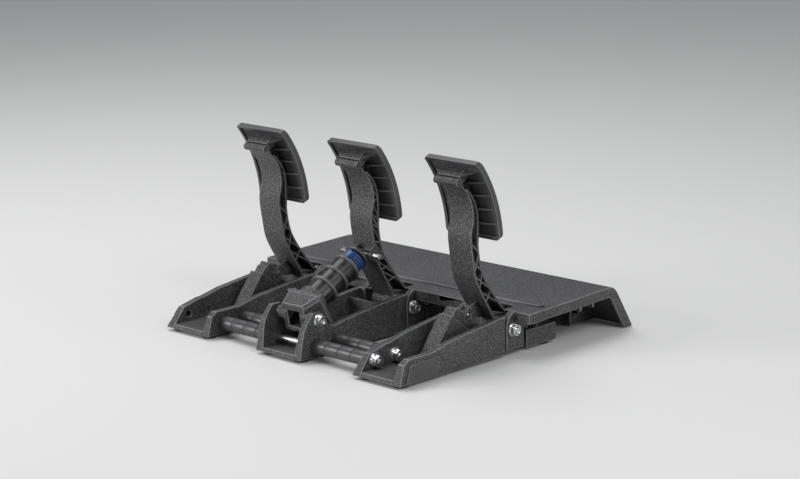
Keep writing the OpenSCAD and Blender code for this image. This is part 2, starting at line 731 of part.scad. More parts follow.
// Cradle of the brake arm: two blocks with a half-round seat for the cross pin
cross_pin_at = pivot + [36.9, 52.5];
stack_l = norm(cross_pin_at - hood_pivot);
stack_axis = unit(cross_pin_at - hood_pivot);
stack_side = [stack_axis[1], -stack_axis[0]];
stack_tilt = atan2(stack_axis[1], -stack_axis[0]);
eye_w = 8;
cradle_in = eye_w / 2 + 1;
cradle_r = 5.5;
brake_steps = [0.06, 0.15, 0.24, 0.33, 0.39, 0.45, 0.51, 0.57, 0.63, 0.69, 0.75, 0.81, 0.87, 0.93];
module cradle()
    both_sides() slab(cradle_in, arm_w / 2, [cross_pin_at + stack_side * cradle_r,
        cross_pin_at - stack_side * cradle_r, pivot + [26, 42], pivot + [30, 62]]);
module brake_arm()
    color(nylon) place() difference() {
        arm_body() {
            cradle();
            braces(pocket_front, pocket_rear, brake_steps, 3);
        }
        bar(cross_d + 2 * run_gap, -arm_w, arm_w, cross_pin_at);
    }

// Pads and the brackets that hold them on the arms
pad_mid = 158;
pad_tilt = 180 - pad_mid;
pad_middle = pivot + [23.2, 123.03];
pad_centre = pad_middle - pad_r * [cos(pad_mid), sin(pad_mid)];
pad_span = 2 * asin(pad_l / (2 * pad_r));
// Angle of a place on the face, from its distance above the middle
function pad_angle(up) = pad_mid - up * 180 / (PI * pad_r);
function on_pad(r, a) = pad_centre + r * [cos(a), sin(a)];
pad_steps = 360;
module pad_ring(w, r0, r1)
    difference() {
        bar(2 * r1, -w / 2, w / 2, pad_centre, pad_steps);
        bar(2 * r0, -w, w, pad_centre, pad_steps);
    }
// Block square to the middle of the pad, with rounded corners, that trims its outline
module pad_block(w, l, r)
    translate([0, pad_centre[0], pad_centre[1]]) rotate([-pad_tilt, 0, 0])
        translate([0, -pad_r * 0.7, 0]) rotate([90, 0, 0]) linear_extrude(pad_r) union() {
            square([w - 2 * r, l], center = true);
            square([w, l - 2 * r], center = true);
            for (x = [-1, 1], y = [-1, 1])
                translate([x * (w / 2 - r), y * (l / 2 - r)]) circle(r);
        }
pad_rib_t = 1.6;
pad_rib_end = pad_w / 2 - pad_rim - 1.5;
pad_rib_d = 8;
pad_rib_step = 14.2;
pad_screw_angles = [pad_angle(9.8), pad_angle(-12)];
pad_head_d = pad_screw_d * 1.7;
pad_head_h = 2.6;
pad_screw_l = 14.5;
bracket_w = 6.5;

// Puts a screw on the pad's face at angle a, pointing into the arm
module pad_screw_at(a)
    translate([0, on_pad(pad_r, a)[0], on_pad(pad_r, a)[1]]) rotate([a - 90, 0, 0])
        rotate([180, 0, 0]) children();
module pad_screw_holes(d)
    for (a = pad_screw_angles) pad_screw_at(a) translate([0, 0, -1]) cylinder(d = d, h = pad_screw_l + 1);
module arm_screw_holes() pad_screw_holes(pad_screw_d + 2 * run_gap);

// Cross rib of the tray at angle a, on both sides from x0 outwards, d deep there and fading out
module pad_rib(a, x0, d)
    both_sides() translate([0, pad_centre[0], pad_centre[1]]) rotate([a - 180, 0, 0])
        translate([0, -pad_r, -pad_rib_t / 2]) linear_extrude(pad_rib_t)
            polygon([[x0, 1], [pad_rib_end, 1], [pad_rib_end, pad_skin + 0.4], [x0, d]]);
module pad()
    difference() {
        intersection() {
            union() {
                pad_ring(2 * pad_w, pad_r - pad_skin, pad_r);
                difference() {
                    pad_ring(2 * pad_w, pad_r - pad_t, pad_r);
                    pad_block(pad_w - 2 * pad_rim, pad_l - 2 * pad_rim, pad_corner - pad_rim);
                }
                pad_rib(pad_angle(shelf_top - pad_rib_t), arm_w / 2, shelf_d - 2);
                for (i = [1:4])
                    pad_rib(pad_angle(shelf_top - pad_rib_t - i * pad_rib_step), bracket_w + 0.4, pad_rib_d);
            }
            pad_block(pad_w, pad_l, pad_corner);
        }
        pad_screw_holes(pad_screw_d + 2 * run_gap);
        for (a = pad_screw_angles) pad_screw_at(a)
            translate([0, 0, -1]) cylinder(d = pad_head_d + 0.4, h = pad_head_h + 1);
    }
module throttle_pad() color(satin_black) place() translate([throttle_x, 0, 0]) pad();
module brake_pad() color(satin_black) place() pad();
module clutch_pad() color(satin_black) place() translate([clutch_x, 0, 0]) pad();

module pad_screws(x)
    color(zinc) place() translate([x, 0, 0]) for (a = pad_screw_angles) pad_screw_at(a) {
        difference() {
            translate([0, 0, 0.4]) cylinder(d = pad_head_d, h = pad_head_h - 0.4);
            cylinder(d = pad_screw_d * 0.7, h = pad_head_h * 0.6, $fn = 6);
        }
        translate([0, 0, pad_head_h]) cylinder(d = pad_screw_d, h = pad_screw_l - pad_head_h - 0.3);
    }
module throttle_pad_screws() pad_screws(throttle_x);
module brake_pad_screws() pad_screws(0);
module clutch_pad_screws() pad_screws(clutch_x);

// Bracket between an arm's strap and the pad's tray, with a shelf from the arm's barrel to the top of the pad
bracket_low = 92;
strap_back = [for (p = arm_rear) if (p[1] > bracket_low) p];
bracket_block = concat(strap_back, [[43, 146], [15, 146], [10, bracket_low]]);
shelf_d = 14.8;
shelf_top = 32.1;
shelf_low = 23.6;
shelf = [on_pad(pad_r - shelf_d, pad_angle(shelf_low)), on_pad(pad_r - shelf_d, pad_angle(shelf_top)),
    on_pad(pad_r, pad_angle(shelf_top)), on_pad(pad_r, pad_angle(shelf_low))];
module pad_bracket(x)
    color(nylon) place() translate([x, 0, 0]) difference() {
        intersection() {
            union() {
                across(2 * bracket_w, shift(bracket_block, pivot));
                across(arm_w - 1, shelf);
            }
            bar(2 * (pad_r - pad_skin), -pad_w, pad_w, pad_centre, pad_steps);
        }
        bar(arm_top_d, -arm_w, arm_w, pivot + arm_top);
        pad_screw_holes(pad_screw_d + 2 * run_gap);
    }
module throttle_pad_bracket() pad_bracket(throttle_x);
module brake_pad_bracket() pad_bracket(0);
module clutch_pad_bracket() pad_bracket(clutch_x);

// Spring units: a housing that rocks on the lower pin, and a plunger that slides in it.
// Inside in_unit, Z runs up the unit's axis from the lower pin and Y towards the toe.
unit_front = unit_d * 0.6;
unit_rear = unit_front - unit_d;
cavity_w = unit_w / 2 - unit_wall;
cavity_z = unit_pin_d / 2 + 2;
guide_y = unit_pin_d / 2 + 2.5;
guide_z = -8;
plunger_z = cavity_z + 10.5;
plunger_top = unit_top + 8;
plunger_w = cavity_w - side_gap;
plunger_front = unit_front - unit_wall - side_gap;
plunger_rear = unit_rear + unit_wall + side_gap;
guide_drop = 11.6;
pocket_d = return_d + 1;
pocket_top = plunger_z + 8;
housing_clear = 2.5;
module in_unit() translate([0, housing_pin[0], housing_pin[1]]) rotate([90 - unit_tilt, 0, 0]) children();
module block(x, y0, y1, za, zb) translate([-x, y0, za]) cube([2 * x, y1 - y0, zb - za]);

module spring_housing(x)
    color(nylon) place() translate([x, 0, 0]) difference() {
        intersection() {
            in_unit() block(unit_w / 2, unit_rear, unit_front, -40, unit_top);
            translate([-unit_w, -set_l, floor_z + housing_clear]) cube([2 * unit_w, set_l, 100]);
        }
        in_unit() {
            block(cavity_w, unit_rear + unit_wall, unit_front - unit_wall, cavity_z, unit_top + 1);
            block(cavity_w, guide_y, unit_front - unit_wall, guide_z, unit_top + 1);
        }
        bar(unit_pin_d + 2 * run_gap, -unit_w, unit_w, housing_pin);
    }
module throttle_spring_housing() spring_housing(throttle_x);
module clutch_spring_housing() spring_housing(clutch_x);

// Two prongs hold the pin, and a head of the given rise stands in front of them
module plunger(x, rise)
    color(satin_black) place() translate([x, 0, 0]) difference() {
        in_unit() {
            block(plunger_w, plunger_rear, plunger_front, plunger_z, plunger_top);
            block(plunger_w, guide_y + side_gap, plunger_front, plunger_z - guide_drop, plunger_z + 1);
            block(plunger_w, -lug_r, lug_r, plunger_top - 1, unit_l + lug_r + 2);
            block(plunger_w, lug_r + 3, plunger_front - 1.8, plunger_top - 1, plunger_top + rise);
        }
        bar(unit_pin_d + 2 * open_gap, -unit_w, unit_w, plunger_pin);
        in_unit() block(fork_w / 2 + side_gap, -unit_d, lug_r + 0.1, unit_l - fork_r - 0.5, unit_l + 3 * lug_r);
        in_unit() translate([0, 0, plunger_z - 1]) cylinder(d = pocket_d, h = pocket_top - plunger_z + 1);
    }
module throttle_plunger() plunger(throttle_x, 5);
module clutch_plunger() plunger(clutch_x, 1.4);

// Wire wound along +Z between z = 0 and z = l, its ends straight for one wire diameter
rings_per_turn = 8;
function coil_points(d, wire, pitch, l) =
    let (r = (d - wire) / 2, turns = floor(2 * (l - 2 * wire) / pitch) / 2,
         n = turns * rings_per_turn, rise = (l - 2 * wire) / n)
    concat([[r, 0, 0]],
        [for (i = [0:n]) [r * cos(i * 360 / rings_per_turn), r * sin(i * 360 / rings_per_turn),
            wire + i * rise]],
        [[r * cos(turns * 360), r * sin(turns * 360), l]]);
function flat_unit(p) = unit([p[0], p[1], 0]);
function coil_ring(p, i, wire) =
    let (n = len(p), a = unit(p[min(i + 1, n - 1)] - p[min(i, n - 2)]),
         b = unit(p[max(i, 1)] - p[max(i - 1, 0)]), t = unit(a + b),
         out = flat_unit(p[i]), side = cross(t, out) / (t * a))
    [for (k = [0:5]) p[i] + wire / 2 * (cos(k * 60) * out + sin(k * 60) * side)];
function coil_gap(p, wire) =
    min([for (i = [0:len(p) - 1], j = [i + rings_per_turn - 2:1:len(p) - 1]) norm(p[i] - p[j])]) - wire;
module coil(d, wire, pitch, l) {
    p = coil_points(d, wire, pitch, l);
    n = len(p);
    rings = [for (i = [0:n - 1]) each coil_ring(p, i, wire)];
    echo(coil_least_gap = coil_gap(p, wire));
    polyhedron(rings, concat(
        [for (i = [0:n - 2], k = [0:5], h = [0, 1]) let (a = 6 * i + k, b = 6 * i + (k + 1) % 6)
            h == 0 ? [a, a + 6, b] : [b, a + 6, b + 6]],
        [for (k = [1:4]) [0, k, k + 1]],
        [for (k = [1:4]) [6 * n - 6, 6 * n - 6 + k + 1, 6 * n - 6 + k]]));
}
spring_gap = 0.2;
module return_spring(x)
    color(steel) place() translate([x, 0, 0]) in_unit() translate([0, 0, cavity_z + spring_gap])
        coil(return_d, return_wire, return_pitch, pocket_top - cavity_z - 2 * spring_gap);
module throttle_return_spring() return_spring(throttle_x);
module clutch_return_spring() return_spring(clutch_x);

module housing_pins()
    color(zinc) place() for (x = [throttle_x, clutch_x]) translate([x, 0, 0])
        bar(unit_pin_d, -lug_x - lug_t - 0.5, lug_x + lug_t + 0.5, housing_pin);
module plunger_pin_bar(x)
    color(zinc) place() translate([x, 0, 0])
        bar(unit_pin_d, -plunger_w - 0.4, plunger_w + 0.4, plunger_pin);
module throttle_plunger_pin() plunger_pin_bar(throttle_x);
module clutch_plunger_pin() plunger_pin_bar(clutch_x);

// Position sensing: a magnet in the hub and a sensor board on the tongue beside it
module magnet(x)
    color(steel) place() translate([x, 0, 0]) bar(magnet_d, arm_w / 2 - magnet_t, arm_w / 2, magnet_at);
module throttle_magnet() magnet(throttle_x);
module clutch_magnet() magnet(clutch_x);
sensor_t = 1.4;
module sensor_boards()
    color(board_green) place() for (x = [throttle_x, clutch_x]) translate([x, 0, 0])
        slab(tongue_in - sensor_t, tongue_in, shift([[thrust_d / 2 + 0.4, -2], [15, -2],
            [15, tongue_h - pivot_h - 0.6], [thrust_d / 2 + 0.4, tongue_h - pivot_h - 0.6]], pivot));

// Brake stack. Inside in_stack, Z runs up the stack's axis from the hood's pivot and Y is its upper side.
module in_stack() translate([0, hood_pivot[0], hood_pivot[1]]) rotate([90 - stack_tilt, 0, 0]) children();
hood_top = 12.5;
hood_low = -12;
hood_bevel = 2.8;
hood_flare = (hood_plate_w - hood_toe_w) / hood_l;
function hood_half(t, wall) = hood_toe_w + hood_flare * t - wall;
module hood_plan(wall, t0, t1)
    translate([0, 50, 0]) rotate([90, 0, 0]) linear_extrude(100)
        polygon([[-hood_half(t0, wall), t0], [hood_half(t0, wall), t0],
            [hood_half(t1, wall), t1], [-hood_half(t1, wall), t1]]);
hood_toe = [[hood_low, -8], [hood_top, -0.5]];
hood_bolt_in = hood_toe_w - 5.5;
hood_boss_out = hood_toe_w + 2.6;
hood_boss_d = hood_bolt_d + 5.5;
corner_screw_d = 3;
corner_screw_at = [hood_half(hood_l, 4.2), hood_top - 4.1];
module hood_corners() for (s = [-1, 1])
    translate([s * corner_screw_at[0], corner_screw_at[1], 0]) children();
module brake_hood()
    color(nylon) place() in_stack() difference() {
        union() {
            difference() {
                intersection() {
                    hood_plan(0, -10, hood_l + 1);
                    across(100, concat(hood_toe, [[hood_top, hood_l], [hood_low, hood_l]]));
                }
                intersection() {
                    hood_plan(hood_wall, -10, hood_l + 1);
                    across(100, [[hood_low + hood_wall, -7 + hood_wall], [hood_top - hood_wall, hood_wall],
                        [hood_top - hood_wall, hood_l + 1], [hood_low + hood_wall, hood_l + 1]]);
                }
                block(hood_toe_w / 2, hood_low + 3.5, hood_top - 6, -20, hood_wall + 1);
            }
            both_sides() bar(hood_boss_d, hood_bolt_in, hood_boss_out, [0, 0]);
            intersection() {
                hood_plan(0, 0, hood_l + 1);
                hood_corners() translate([0, 0, hood_l - 8]) cylinder(d = 2 * corner_screw_d, h = 8);
            }
        }
        both_sides() bar(hood_bolt_d + 2 * run_gap, hood_bolt_in - 1, hood_boss_out + 1, [0, 0]);
        hood_corners() translate([0, 0, hood_l - 7]) cylinder(d = corner_screw_d + 2 * run_gap, h = 8);
        both_sides() translate([hood_toe_w, hood_top - hood_bevel, 0])
            rotate([0, atan(hood_flare), 0]) rotate([0, 0, 45])
                translate([0, -hood_l, -2 * hood_l]) cube([hood_l, 3 * hood_l, 5 * hood_l]);
    }

hood_plate_low = -19;
seat_l = 6;
seat_t = hood_l + hood_plate_t + seat_l;
module hood_plate()
    color(nylon) place() in_stack() difference() {
        union() {
            block(hood_plate_w, hood_plate_low, hood_top + 0.2, hood_l, hood_l + hood_plate_t);
            translate([0, 0, hood_l + 1])
                cylinder(d = elastomer_flange_d, h = hood_plate_t + seat_l - 1);
        }
        translate([0, 0, hood_l - 1]) cylinder(d = push_d + 2 * run_gap, h = 20);
        hood_corners() cylinder(d = corner_screw_d + 2 * bolt_gap, h = 60);
        for (p = cell_screws) translate([p[0], p[1], hood_l - 1])
            cylinder(d = cell_screw_d + 2 * run_gap, h = hood_plate_t + seat_l - 1);
    }
module hood_plate_screws()
    color(zinc) place() in_stack() hood_corners() {
        translate([0, 0, hood_l - 6]) cylinder(d = corner_screw_d, h = 6 + hood_plate_t);
        difference() {
            translate([0, 0, hood_l + hood_plate_t]) cylinder(d = 2 * corner_screw_d, h = corner_screw_d);
            translate([0, 0, hood_l + hood_plate_t + 1.2])
                cylinder(d = corner_screw_d, h = corner_screw_d, $fn = 6);
        }
    }

// Shoulder bolts and spacers on which the hood rocks
hood_seat_x = half_w - 1.2;
module hood_pivot_bolts()
    color(zinc) place() both_sides() flange_bolt(hood_bolt_d, hood_seat_x, hood_bolt_in + 0.5, hood_pivot);
module hood_spacers()
    color(satin_black) place() both_sides() difference() {
        bar(hood_boss_d, hood_boss_out + side_gap, inner_x(hood_pivot[1] - hood_boss_d / 2), hood_pivot);
        bar(hood_bolt_d + 2 * run_gap, 0, half_w, hood_pivot);
    }

// Load cell on the plate, with its two flexure slots
cell_screw_d = 3;
cell_head_d = cell_screw_d * 1.7;
cell_screw_x = push_d / 2 + cell_head_d / 2 + 2;
cell_screws = [[-cell_screw_x, 0], [cell_screw_x, 0]];
cell_w = cell_screw_x + cell_head_d / 2 + 1.8;
cell_sink = cell_screw_d + 0.4;
cell_h = 7;
cell_l = 7.6;
module load_cell()
    color(steel) place() in_stack() difference() {
        block(cell_w, -cell_h, cell_h, hood_l - cell_l, hood_l);
        translate([0, 0, hood_l - cell_l - 1]) cylinder(d = push_d + 1, h = cell_l + 2);
        for (s = [-1, 1]) translate([-cell_w - 1, s * (cell_h - 1.6) - 0.4, hood_l - cell_l * 0.55])
            cube([2 * cell_w + 2, 0.8, 2.5]);
        for (p = cell_screws) translate([p[0], p[1], hood_l - cell_l - 1]) {
            cylinder(d = cell_screw_d + 2 * bolt_gap, h = cell_l + 2);
            cylinder(d = cell_head_d + 0.6, h = cell_sink + 1);
        }
    }
// Their heads are sunk in the load cell
module load_cell_screws()
    color(zinc) place() in_stack() for (p = cell_screws)
        translate([p[0], p[1], hood_l - cell_l + cell_sink]) {
            cylinder(d = cell_screw_d, h = cell_l - cell_sink + hood_plate_t + 2);
            difference() {
                translate([0, 0, -cell_screw_d]) cylinder(d = cell_head_d, h = cell_screw_d);
                translate([0, 0, -cell_screw_d - 1]) cylinder(d = cell_screw_d * 0.9, h = 2.8, $fn = 6);
            }
        }

// Push rod with its spring cap and the eye round the cross pin
eye_r = 4.2;
eye_gap = 0.5;
cap_t = 2.7;
cap_z = stack_l - eye_r - cap_t;
push_front = hood_l - 2;
module push_rod()
    color(zinc) place() in_stack() difference() {
        union() {
            translate([0, 0, push_front]) cylinder(d = push_d, h = cap_z - push_front + 1);
            translate([0, 0, cap_z]) cylinder(d = brake_spring_d + 1.5, h = cap_t);
            block(eye_w / 2, -eye_r, eye_r, cap_z + 1, stack_l);
            bar(2 * eye_r, -eye_w / 2, eye_w / 2, [0, stack_l]);
        }
        bar(cross_d + 2 * eye_gap, -eye_w, eye_w, [0, stack_l]);
    }

module elastomer(i)
    color(rubber_black) place() in_stack() translate([0, 0, seat_t + i * elastomer_l]) rotate_extrude()
        polygon([[push_d / 2 + side_gap, 0], [elastomer_d / 2 - 0.6, 0], [elastomer_d / 2, 0.6],
            [elastomer_d / 2, elastomer_l - elastomer_flange_t],
            [elastomer_flange_d / 2 - 0.6, elastomer_l - elastomer_flange_t],
            [elastomer_flange_d / 2, elastomer_l - elastomer_flange_t + 0.6],
            [elastomer_flange_d / 2, elastomer_l - 0.6], [elastomer_flange_d / 2 - 0.6, elastomer_l],
            [push_d / 2 + side_gap, elastomer_l]]);
module front_elastomer() elastomer(0);
module middle_elastomer() elastomer(1);
module rear_elastomer() elastomer(2);
stack_end = seat_t + 3 * elastomer_l;
module brake_spring()
    color(spring_blue) place() in_stack() translate([0, 0, stack_end + 0.05])
        coil(brake_spring_d, brake_wire, brake_pitch, cap_z - stack_end - 0.05 - side_gap);

module cross_pin() color(zinc) place() bar(cross_d, -cross_l / 2, cross_l / 2, cross_pin_at);
clip_w = 1.6;
module cross_pin_clips()
    color(satin_black) place() both_sides() difference() {
        bar(cross_d + 4, arm_w / 2 + 1, arm_w / 2 + 1 + clip_w, cross_pin_at);
        bar(cross_d + 2 * run_gap, arm_w / 2, arm_w, cross_pin_at);
    }

// Controller board on posts under the heel plate, with its data socket towards the toe
board_w = 46;
board_l = 30;
board_t = 1.6;
board_x = clutch_x / 2;
board_front = heel_front - 22;
board_z = heel_under - 9;
board_screw_d = 3;
board_holes = [for (x = [-1, 1], y = [3.5, board_l - 3.5])
    [board_x + x * (board_w / 2 - 3.5), board_front - y]];
module board_posts()
    for (p = board_holes) translate([p[0], p[1], board_z])
        cylinder(d = board_screw_d * 2, h = heel_z(p[1]) - heel_t / 2 - board_z);
module controller_board()
    color(board_green) place() difference() {
        translate([board_x - board_w / 2, board_front - board_l, board_z - board_t])
            cube([board_w, board_l, board_t]);
        for (p = board_holes) translate([p[0], p[1], board_z - 5])
            cylinder(d = board_screw_d + 2 * bolt_gap, h = 10);
    }
module board_screws()
    color(zinc) place() for (p = board_holes) translate([p[0], p[1], board_z - board_t]) {
        translate([0, 0, -2]) cylinder(d = board_screw_d * 1.8, h = 2);
        cylinder(d = board_screw_d, h = board_t + 5);
    }
socket_w = 9;
socket_l = 7.4;
socket_h = 3.2;
module data_socket()
    color(steel) place() translate([board_x - socket_w / 2, board_front - socket_l + 1,
        board_z - board_t - socket_h]) difference() {
            cube([socket_w, socket_l, socket_h]);
            translate([0.5, 1.5, 0.5]) cube([socket_w - 1, socket_l, socket_h - 1]);
        }

heel_plate();
heel_stop_strip();
throttle_base();
brake_base();
clutch_base();
rubber_feet();
throttle_side_plate();
clutch_side_plate();
front_tie_rod();
rear_tie_rod();
rod_spacers();
rod_nuts();
rod_washers();
pivot_bolts();
pivot_nuts();
pivot_sleeves();
thrust_washers();
heel_screws();
throttle_arm();
brake_arm();
clutch_arm();
throttle_pad();
brake_pad();
clutch_pad();
throttle_pad_bracket();
brake_pad_bracket();
clutch_pad_bracket();
throttle_pad_screws();
brake_pad_screws();
clutch_pad_screws();
throttle_spring_housing();
clutch_spring_housing();
throttle_plunger();
clutch_plunger();
throttle_return_spring();
clutch_return_spring();
housing_pins();
throttle_plunger_pin();
clutch_plunger_pin();
throttle_magnet();
clutch_magnet();
sensor_boards();
brake_hood();
hood_pivot_bolts();
hood_spacers();
hood_plate();
hood_plate_screws();
load_cell();
load_cell_screws();
push_rod();
front_elastomer();
middle_elastomer();
rear_elastomer();
brake_spring();
cross_pin();
cross_pin_clips();
controller_board();
board_screws();
data_socket();
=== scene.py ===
"""Looks of a three-pedal floor set: finishes, springs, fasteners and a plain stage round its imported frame."""
import json
import math

import bmesh
import bpy
import numpy as np
from bpy.props import FloatProperty, FloatVectorProperty, PointerProperty
from mathutils import Matrix, Vector


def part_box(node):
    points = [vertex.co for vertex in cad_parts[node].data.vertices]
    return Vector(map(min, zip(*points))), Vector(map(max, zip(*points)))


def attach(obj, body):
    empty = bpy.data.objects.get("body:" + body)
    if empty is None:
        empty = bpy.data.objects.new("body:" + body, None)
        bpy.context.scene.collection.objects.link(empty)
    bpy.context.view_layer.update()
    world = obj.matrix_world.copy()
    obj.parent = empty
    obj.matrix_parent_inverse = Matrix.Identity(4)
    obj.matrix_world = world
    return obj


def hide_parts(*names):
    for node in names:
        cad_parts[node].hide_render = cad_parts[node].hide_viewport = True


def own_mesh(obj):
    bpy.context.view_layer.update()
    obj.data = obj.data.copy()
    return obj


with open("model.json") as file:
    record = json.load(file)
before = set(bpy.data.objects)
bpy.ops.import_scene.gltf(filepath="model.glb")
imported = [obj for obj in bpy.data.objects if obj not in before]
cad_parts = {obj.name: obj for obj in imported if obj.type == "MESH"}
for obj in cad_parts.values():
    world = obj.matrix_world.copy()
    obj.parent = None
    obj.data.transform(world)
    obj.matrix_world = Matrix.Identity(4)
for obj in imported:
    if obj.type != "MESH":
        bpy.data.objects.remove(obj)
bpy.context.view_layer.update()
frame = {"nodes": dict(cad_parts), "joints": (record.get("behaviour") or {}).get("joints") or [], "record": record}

bl_info = {
    "name": "Pedal Set Dresser",
    "version": (1, 0, 0),
    "blender": (4, 5, 0),
    "location": "View3D > Sidebar > Pedal Set",
    "description": "Dresses the frame of a three-pedal floor set and sets up a plain stage",
    "category": "Object",
}

MM = 0.001
SIDES = ("throttle", "clutch")
PEDALS = ("throttle", "brake", "clutch")
JOINTS = {j["name"]: j for j in frame["joints"]}
BODY_OF = {n: b for b, ns in frame["record"]["behaviour"]["bodies"].items() for n in ns}
SLOT_OF = {s["node"]: s["material_slot"] for s in frame["record"]["subparts"]}


# Settings

class FinishColours(bpy.types.PropertyGroup):
    """Colours of the set's finishes."""
    nylon: FloatVectorProperty(name="Nylon", description="Grained black of the mouldings", subtype="COLOR",
                               default=(0.011, 0.011, 0.012))
    # Lighter end of the nylon: its grain, wear on its edges, painted glints and a painted edge highlight
    nylon_light: FloatVectorProperty(name="Nylon high points", description="Grain, edge wear, painted glints and painted edge highlights",
                                     subtype="COLOR", default=(0.25, 0.25, 0.256))
    satin: FloatVectorProperty(name="Satin black", description="Pads, spacers and the stop strip",
                               subtype="COLOR", default=(0.037, 0.037, 0.039))
    # Lighter end of the satin: its scuffs and grain, wear on its edges and a painted edge highlight
    satin_light: FloatVectorProperty(name="Satin high points", description="Scuffs, edge wear and painted edge highlights of satin pieces",
                                     subtype="COLOR", default=(0.21, 0.21, 0.217))
    rubber: FloatVectorProperty(name="Rubber", description="Elastomers and feet", subtype="COLOR",
                                default=(0.011, 0.011, 0.012))
    zinc: FloatVectorProperty(name="Zinc", description="Plated fasteners and pins", subtype="COLOR",
                              default=(0.56, 0.565, 0.57))
    steel: FloatVectorProperty(name="Steel", description="Drawn and machined steel", subtype="COLOR",
                               default=(0.48, 0.485, 0.5))
    spring: FloatVectorProperty(name="Spring blue", description="Powder coat of the brake spring",
                                subtype="COLOR", default=(0.006, 0.052, 0.21))
    board: FloatVectorProperty(name="Solder mask", description="Circuit boards", subtype="COLOR",
                               default=(0.012, 0.075, 0.035))
    floor: FloatVectorProperty(name="Floor", description="Studio floor", subtype="COLOR",
                               default=(0.72, 0.72, 0.71))


class PedalSetSettings(bpy.types.PropertyGroup):
    """Sizes that shape the pieces made here."""
    colours: PointerProperty(name="Colours", description="Colours of the finishes", type=FinishColours)
    edge_round: FloatProperty(name="Edge rounding", description="Radius of the moulded edges", unit="LENGTH",
                              default=0.6 * MM, min=0.1 * MM, max=2 * MM)
    grain: FloatProperty(name="Grain size", description="Size of the nylon's surface grain", unit="LENGTH",
                         default=1.15 * MM, min=0.3 * MM, max=3 * MM)
    spring_wire: FloatProperty(name="Brake spring wire", description="Wire diameter of the brake spring",
                               unit="LENGTH", default=2.0 * MM, min=1.5 * MM, max=2.2 * MM)


def settings():
    return bpy.context.scene.pedal_set


# Shaders

class Value:
    """A socket of a material, whose arithmetic adds Math nodes."""

    def __init__(self, finish, socket):
        self.finish = finish
        self.socket = socket

    def _math(self, operation, a, b):
        return self.finish.node("ShaderNodeMath", {"operation": operation}, {0: a, 1: b})

    def __add__(self, other):
        return self._math("ADD", self, other)

    def __radd__(self, other):
        return self._math("ADD", other, self)

    def __sub__(self, other):
        return self._math("SUBTRACT", self, other)

    def __rsub__(self, other):
        return self._math("SUBTRACT", other, self)

    def __mul__(self, other):
        return self._math("MULTIPLY", self, other)

    def __rmul__(self, other):
        return self._math("MULTIPLY", other, self)


class Finish:
    """One procedural material round a Principled shader."""

    def __init__(self, name, **constants):
        self.material = bpy.data.materials.new(name)
        self.material.use_nodes = True
        self.tree = self.material.node_tree
        self.tree.nodes.clear()
        output = self.tree.nodes.new("ShaderNodeOutputMaterial")
        self.shader = self.tree.nodes.new("ShaderNodeBsdfPrincipled")
        self.tree.links.new(self.shader.outputs[0], output.inputs[0])
        for socket, value in constants.items():
            self.set(self.shader.inputs[socket.replace("_", " ")], value)

    def set(self, socket, value):
        if isinstance(value, Value):
            self.tree.links.new(value.socket, socket)
        elif socket.type == "RGBA":
            socket.default_value = (*value[:3], 1)
        else:
            socket.default_value = value

    def node(self, kind, settings=None, inputs=None, output=0):
        """Adds a node: its settings first, then the values or links of its sockets; returns one output."""
        made = self.tree.nodes.new(kind)
        for key, value in (settings or {}).items():
            setattr(made, key, value)
        for key, value in (inputs or {}).items():
            self.set(made.inputs[key], value)
        return Value(self, made.outputs[output])

    def feed(self, **links):
        for socket, value in links.items():
            self.set(self.shader.inputs[socket.replace("_", " ")], value)
        return self

    def place(self):
        return self.node("ShaderNodeTexCoord", output="Object")

    def noise(self, size, detail=2.0, roughness=0.5):
        return self.node("ShaderNodeTexNoise", {"noise_dimensions": "3D"},
                         {"Vector": self.place(), "Scale": 1 / size, "Detail": detail,
                          "Roughness": roughness}, "Fac")

    def cells(self, size, feature="F1"):
        return self.node("ShaderNodeTexVoronoi", {"feature": feature},
                         {"Vector": self.place(), "Scale": 1 / size}, "Distance")

    def ramp(self, value, low, high):
        """0 at low and 1 at high, held beyond both; low may be the greater."""
        return self.node("ShaderNodeMapRange", {"clamp": True},
                         {"Value": value, "From Min": low, "From Max": high, "To Min": 0.0, "To Max": 1.0})

    def mix(self, factor, a, b):
        return self.node("ShaderNodeMix", {"data_type": "RGBA"}, {0: factor, 6: a, 7: b}, 2)

    def bump(self, height, depth, strength=1.0):
        return self.node("ShaderNodeBump", inputs={"Strength": strength, "Distance": depth, "Height": height})

    def edge_and_rim(self):
        """1 on the rounded edges of a moulding and the rims of a rubber ring, 0 elsewhere; lightening the edges is
        partly wear, partly a painted highlight, and on rubber it is the rims' own grey.
        """
        return self.node("ShaderNodeAttribute", {"attribute_name": "edge_and_rim"}, output="Fac")


def grained_nylon():
    """Black glass-filled nylon: coarse spark-eroded grain, lighter on its high points, with painted glints, and
    edges lighter from wear and a painted highlight.
    """
    colours = settings().colours
    grain = settings().grain
    f = Finish("grained_nylon", Specular_IOR_Level=0.5)
    edge = f.edge_and_rim()
    coarse = f.noise(grain, 3.0, 0.65)
    fine = f.noise(0.4 * grain, 2.0, 0.6)
    pits = f.cells(0.9 * grain)
    cloud = f.noise(40 * MM, 3.0, 0.55)
    scuff = f.noise(9 * MM, 4.0, 0.65)
    speck = f.ramp(0.58 * coarse + 0.42 * fine - 0.12 * pits, 0.4, 0.56)
    # Painted glints: sparse bright dots in the colour that stand in for the specular sparkle of the grain
    glint = f.ramp(f.cells(1.4 * grain), 0.36, 0.16) * coarse
    # Lighter colour for the grain, the painted glints and the rounded edges, whose lightening is partly wear and
    # partly a painted highlight
    grain_wear_and_sheen = f.ramp(0.42 * speck + 0.95 * glint + edge * (0.25 + 0.3 * fine + 0.3 * scuff) + 0.2 * cloud,
                 0.12, 1.0)
    height = coarse * 0.6 + fine * 0.4 - pits * 0.4
    return f.feed(Base_Color=f.mix(grain_wear_and_sheen, colours.nylon, colours.nylon_light),
                  Roughness=0.32 + 0.24 * fine - 0.04 * edge,
                  Normal=f.bump(height, 0.6 * MM, 1.0)).material


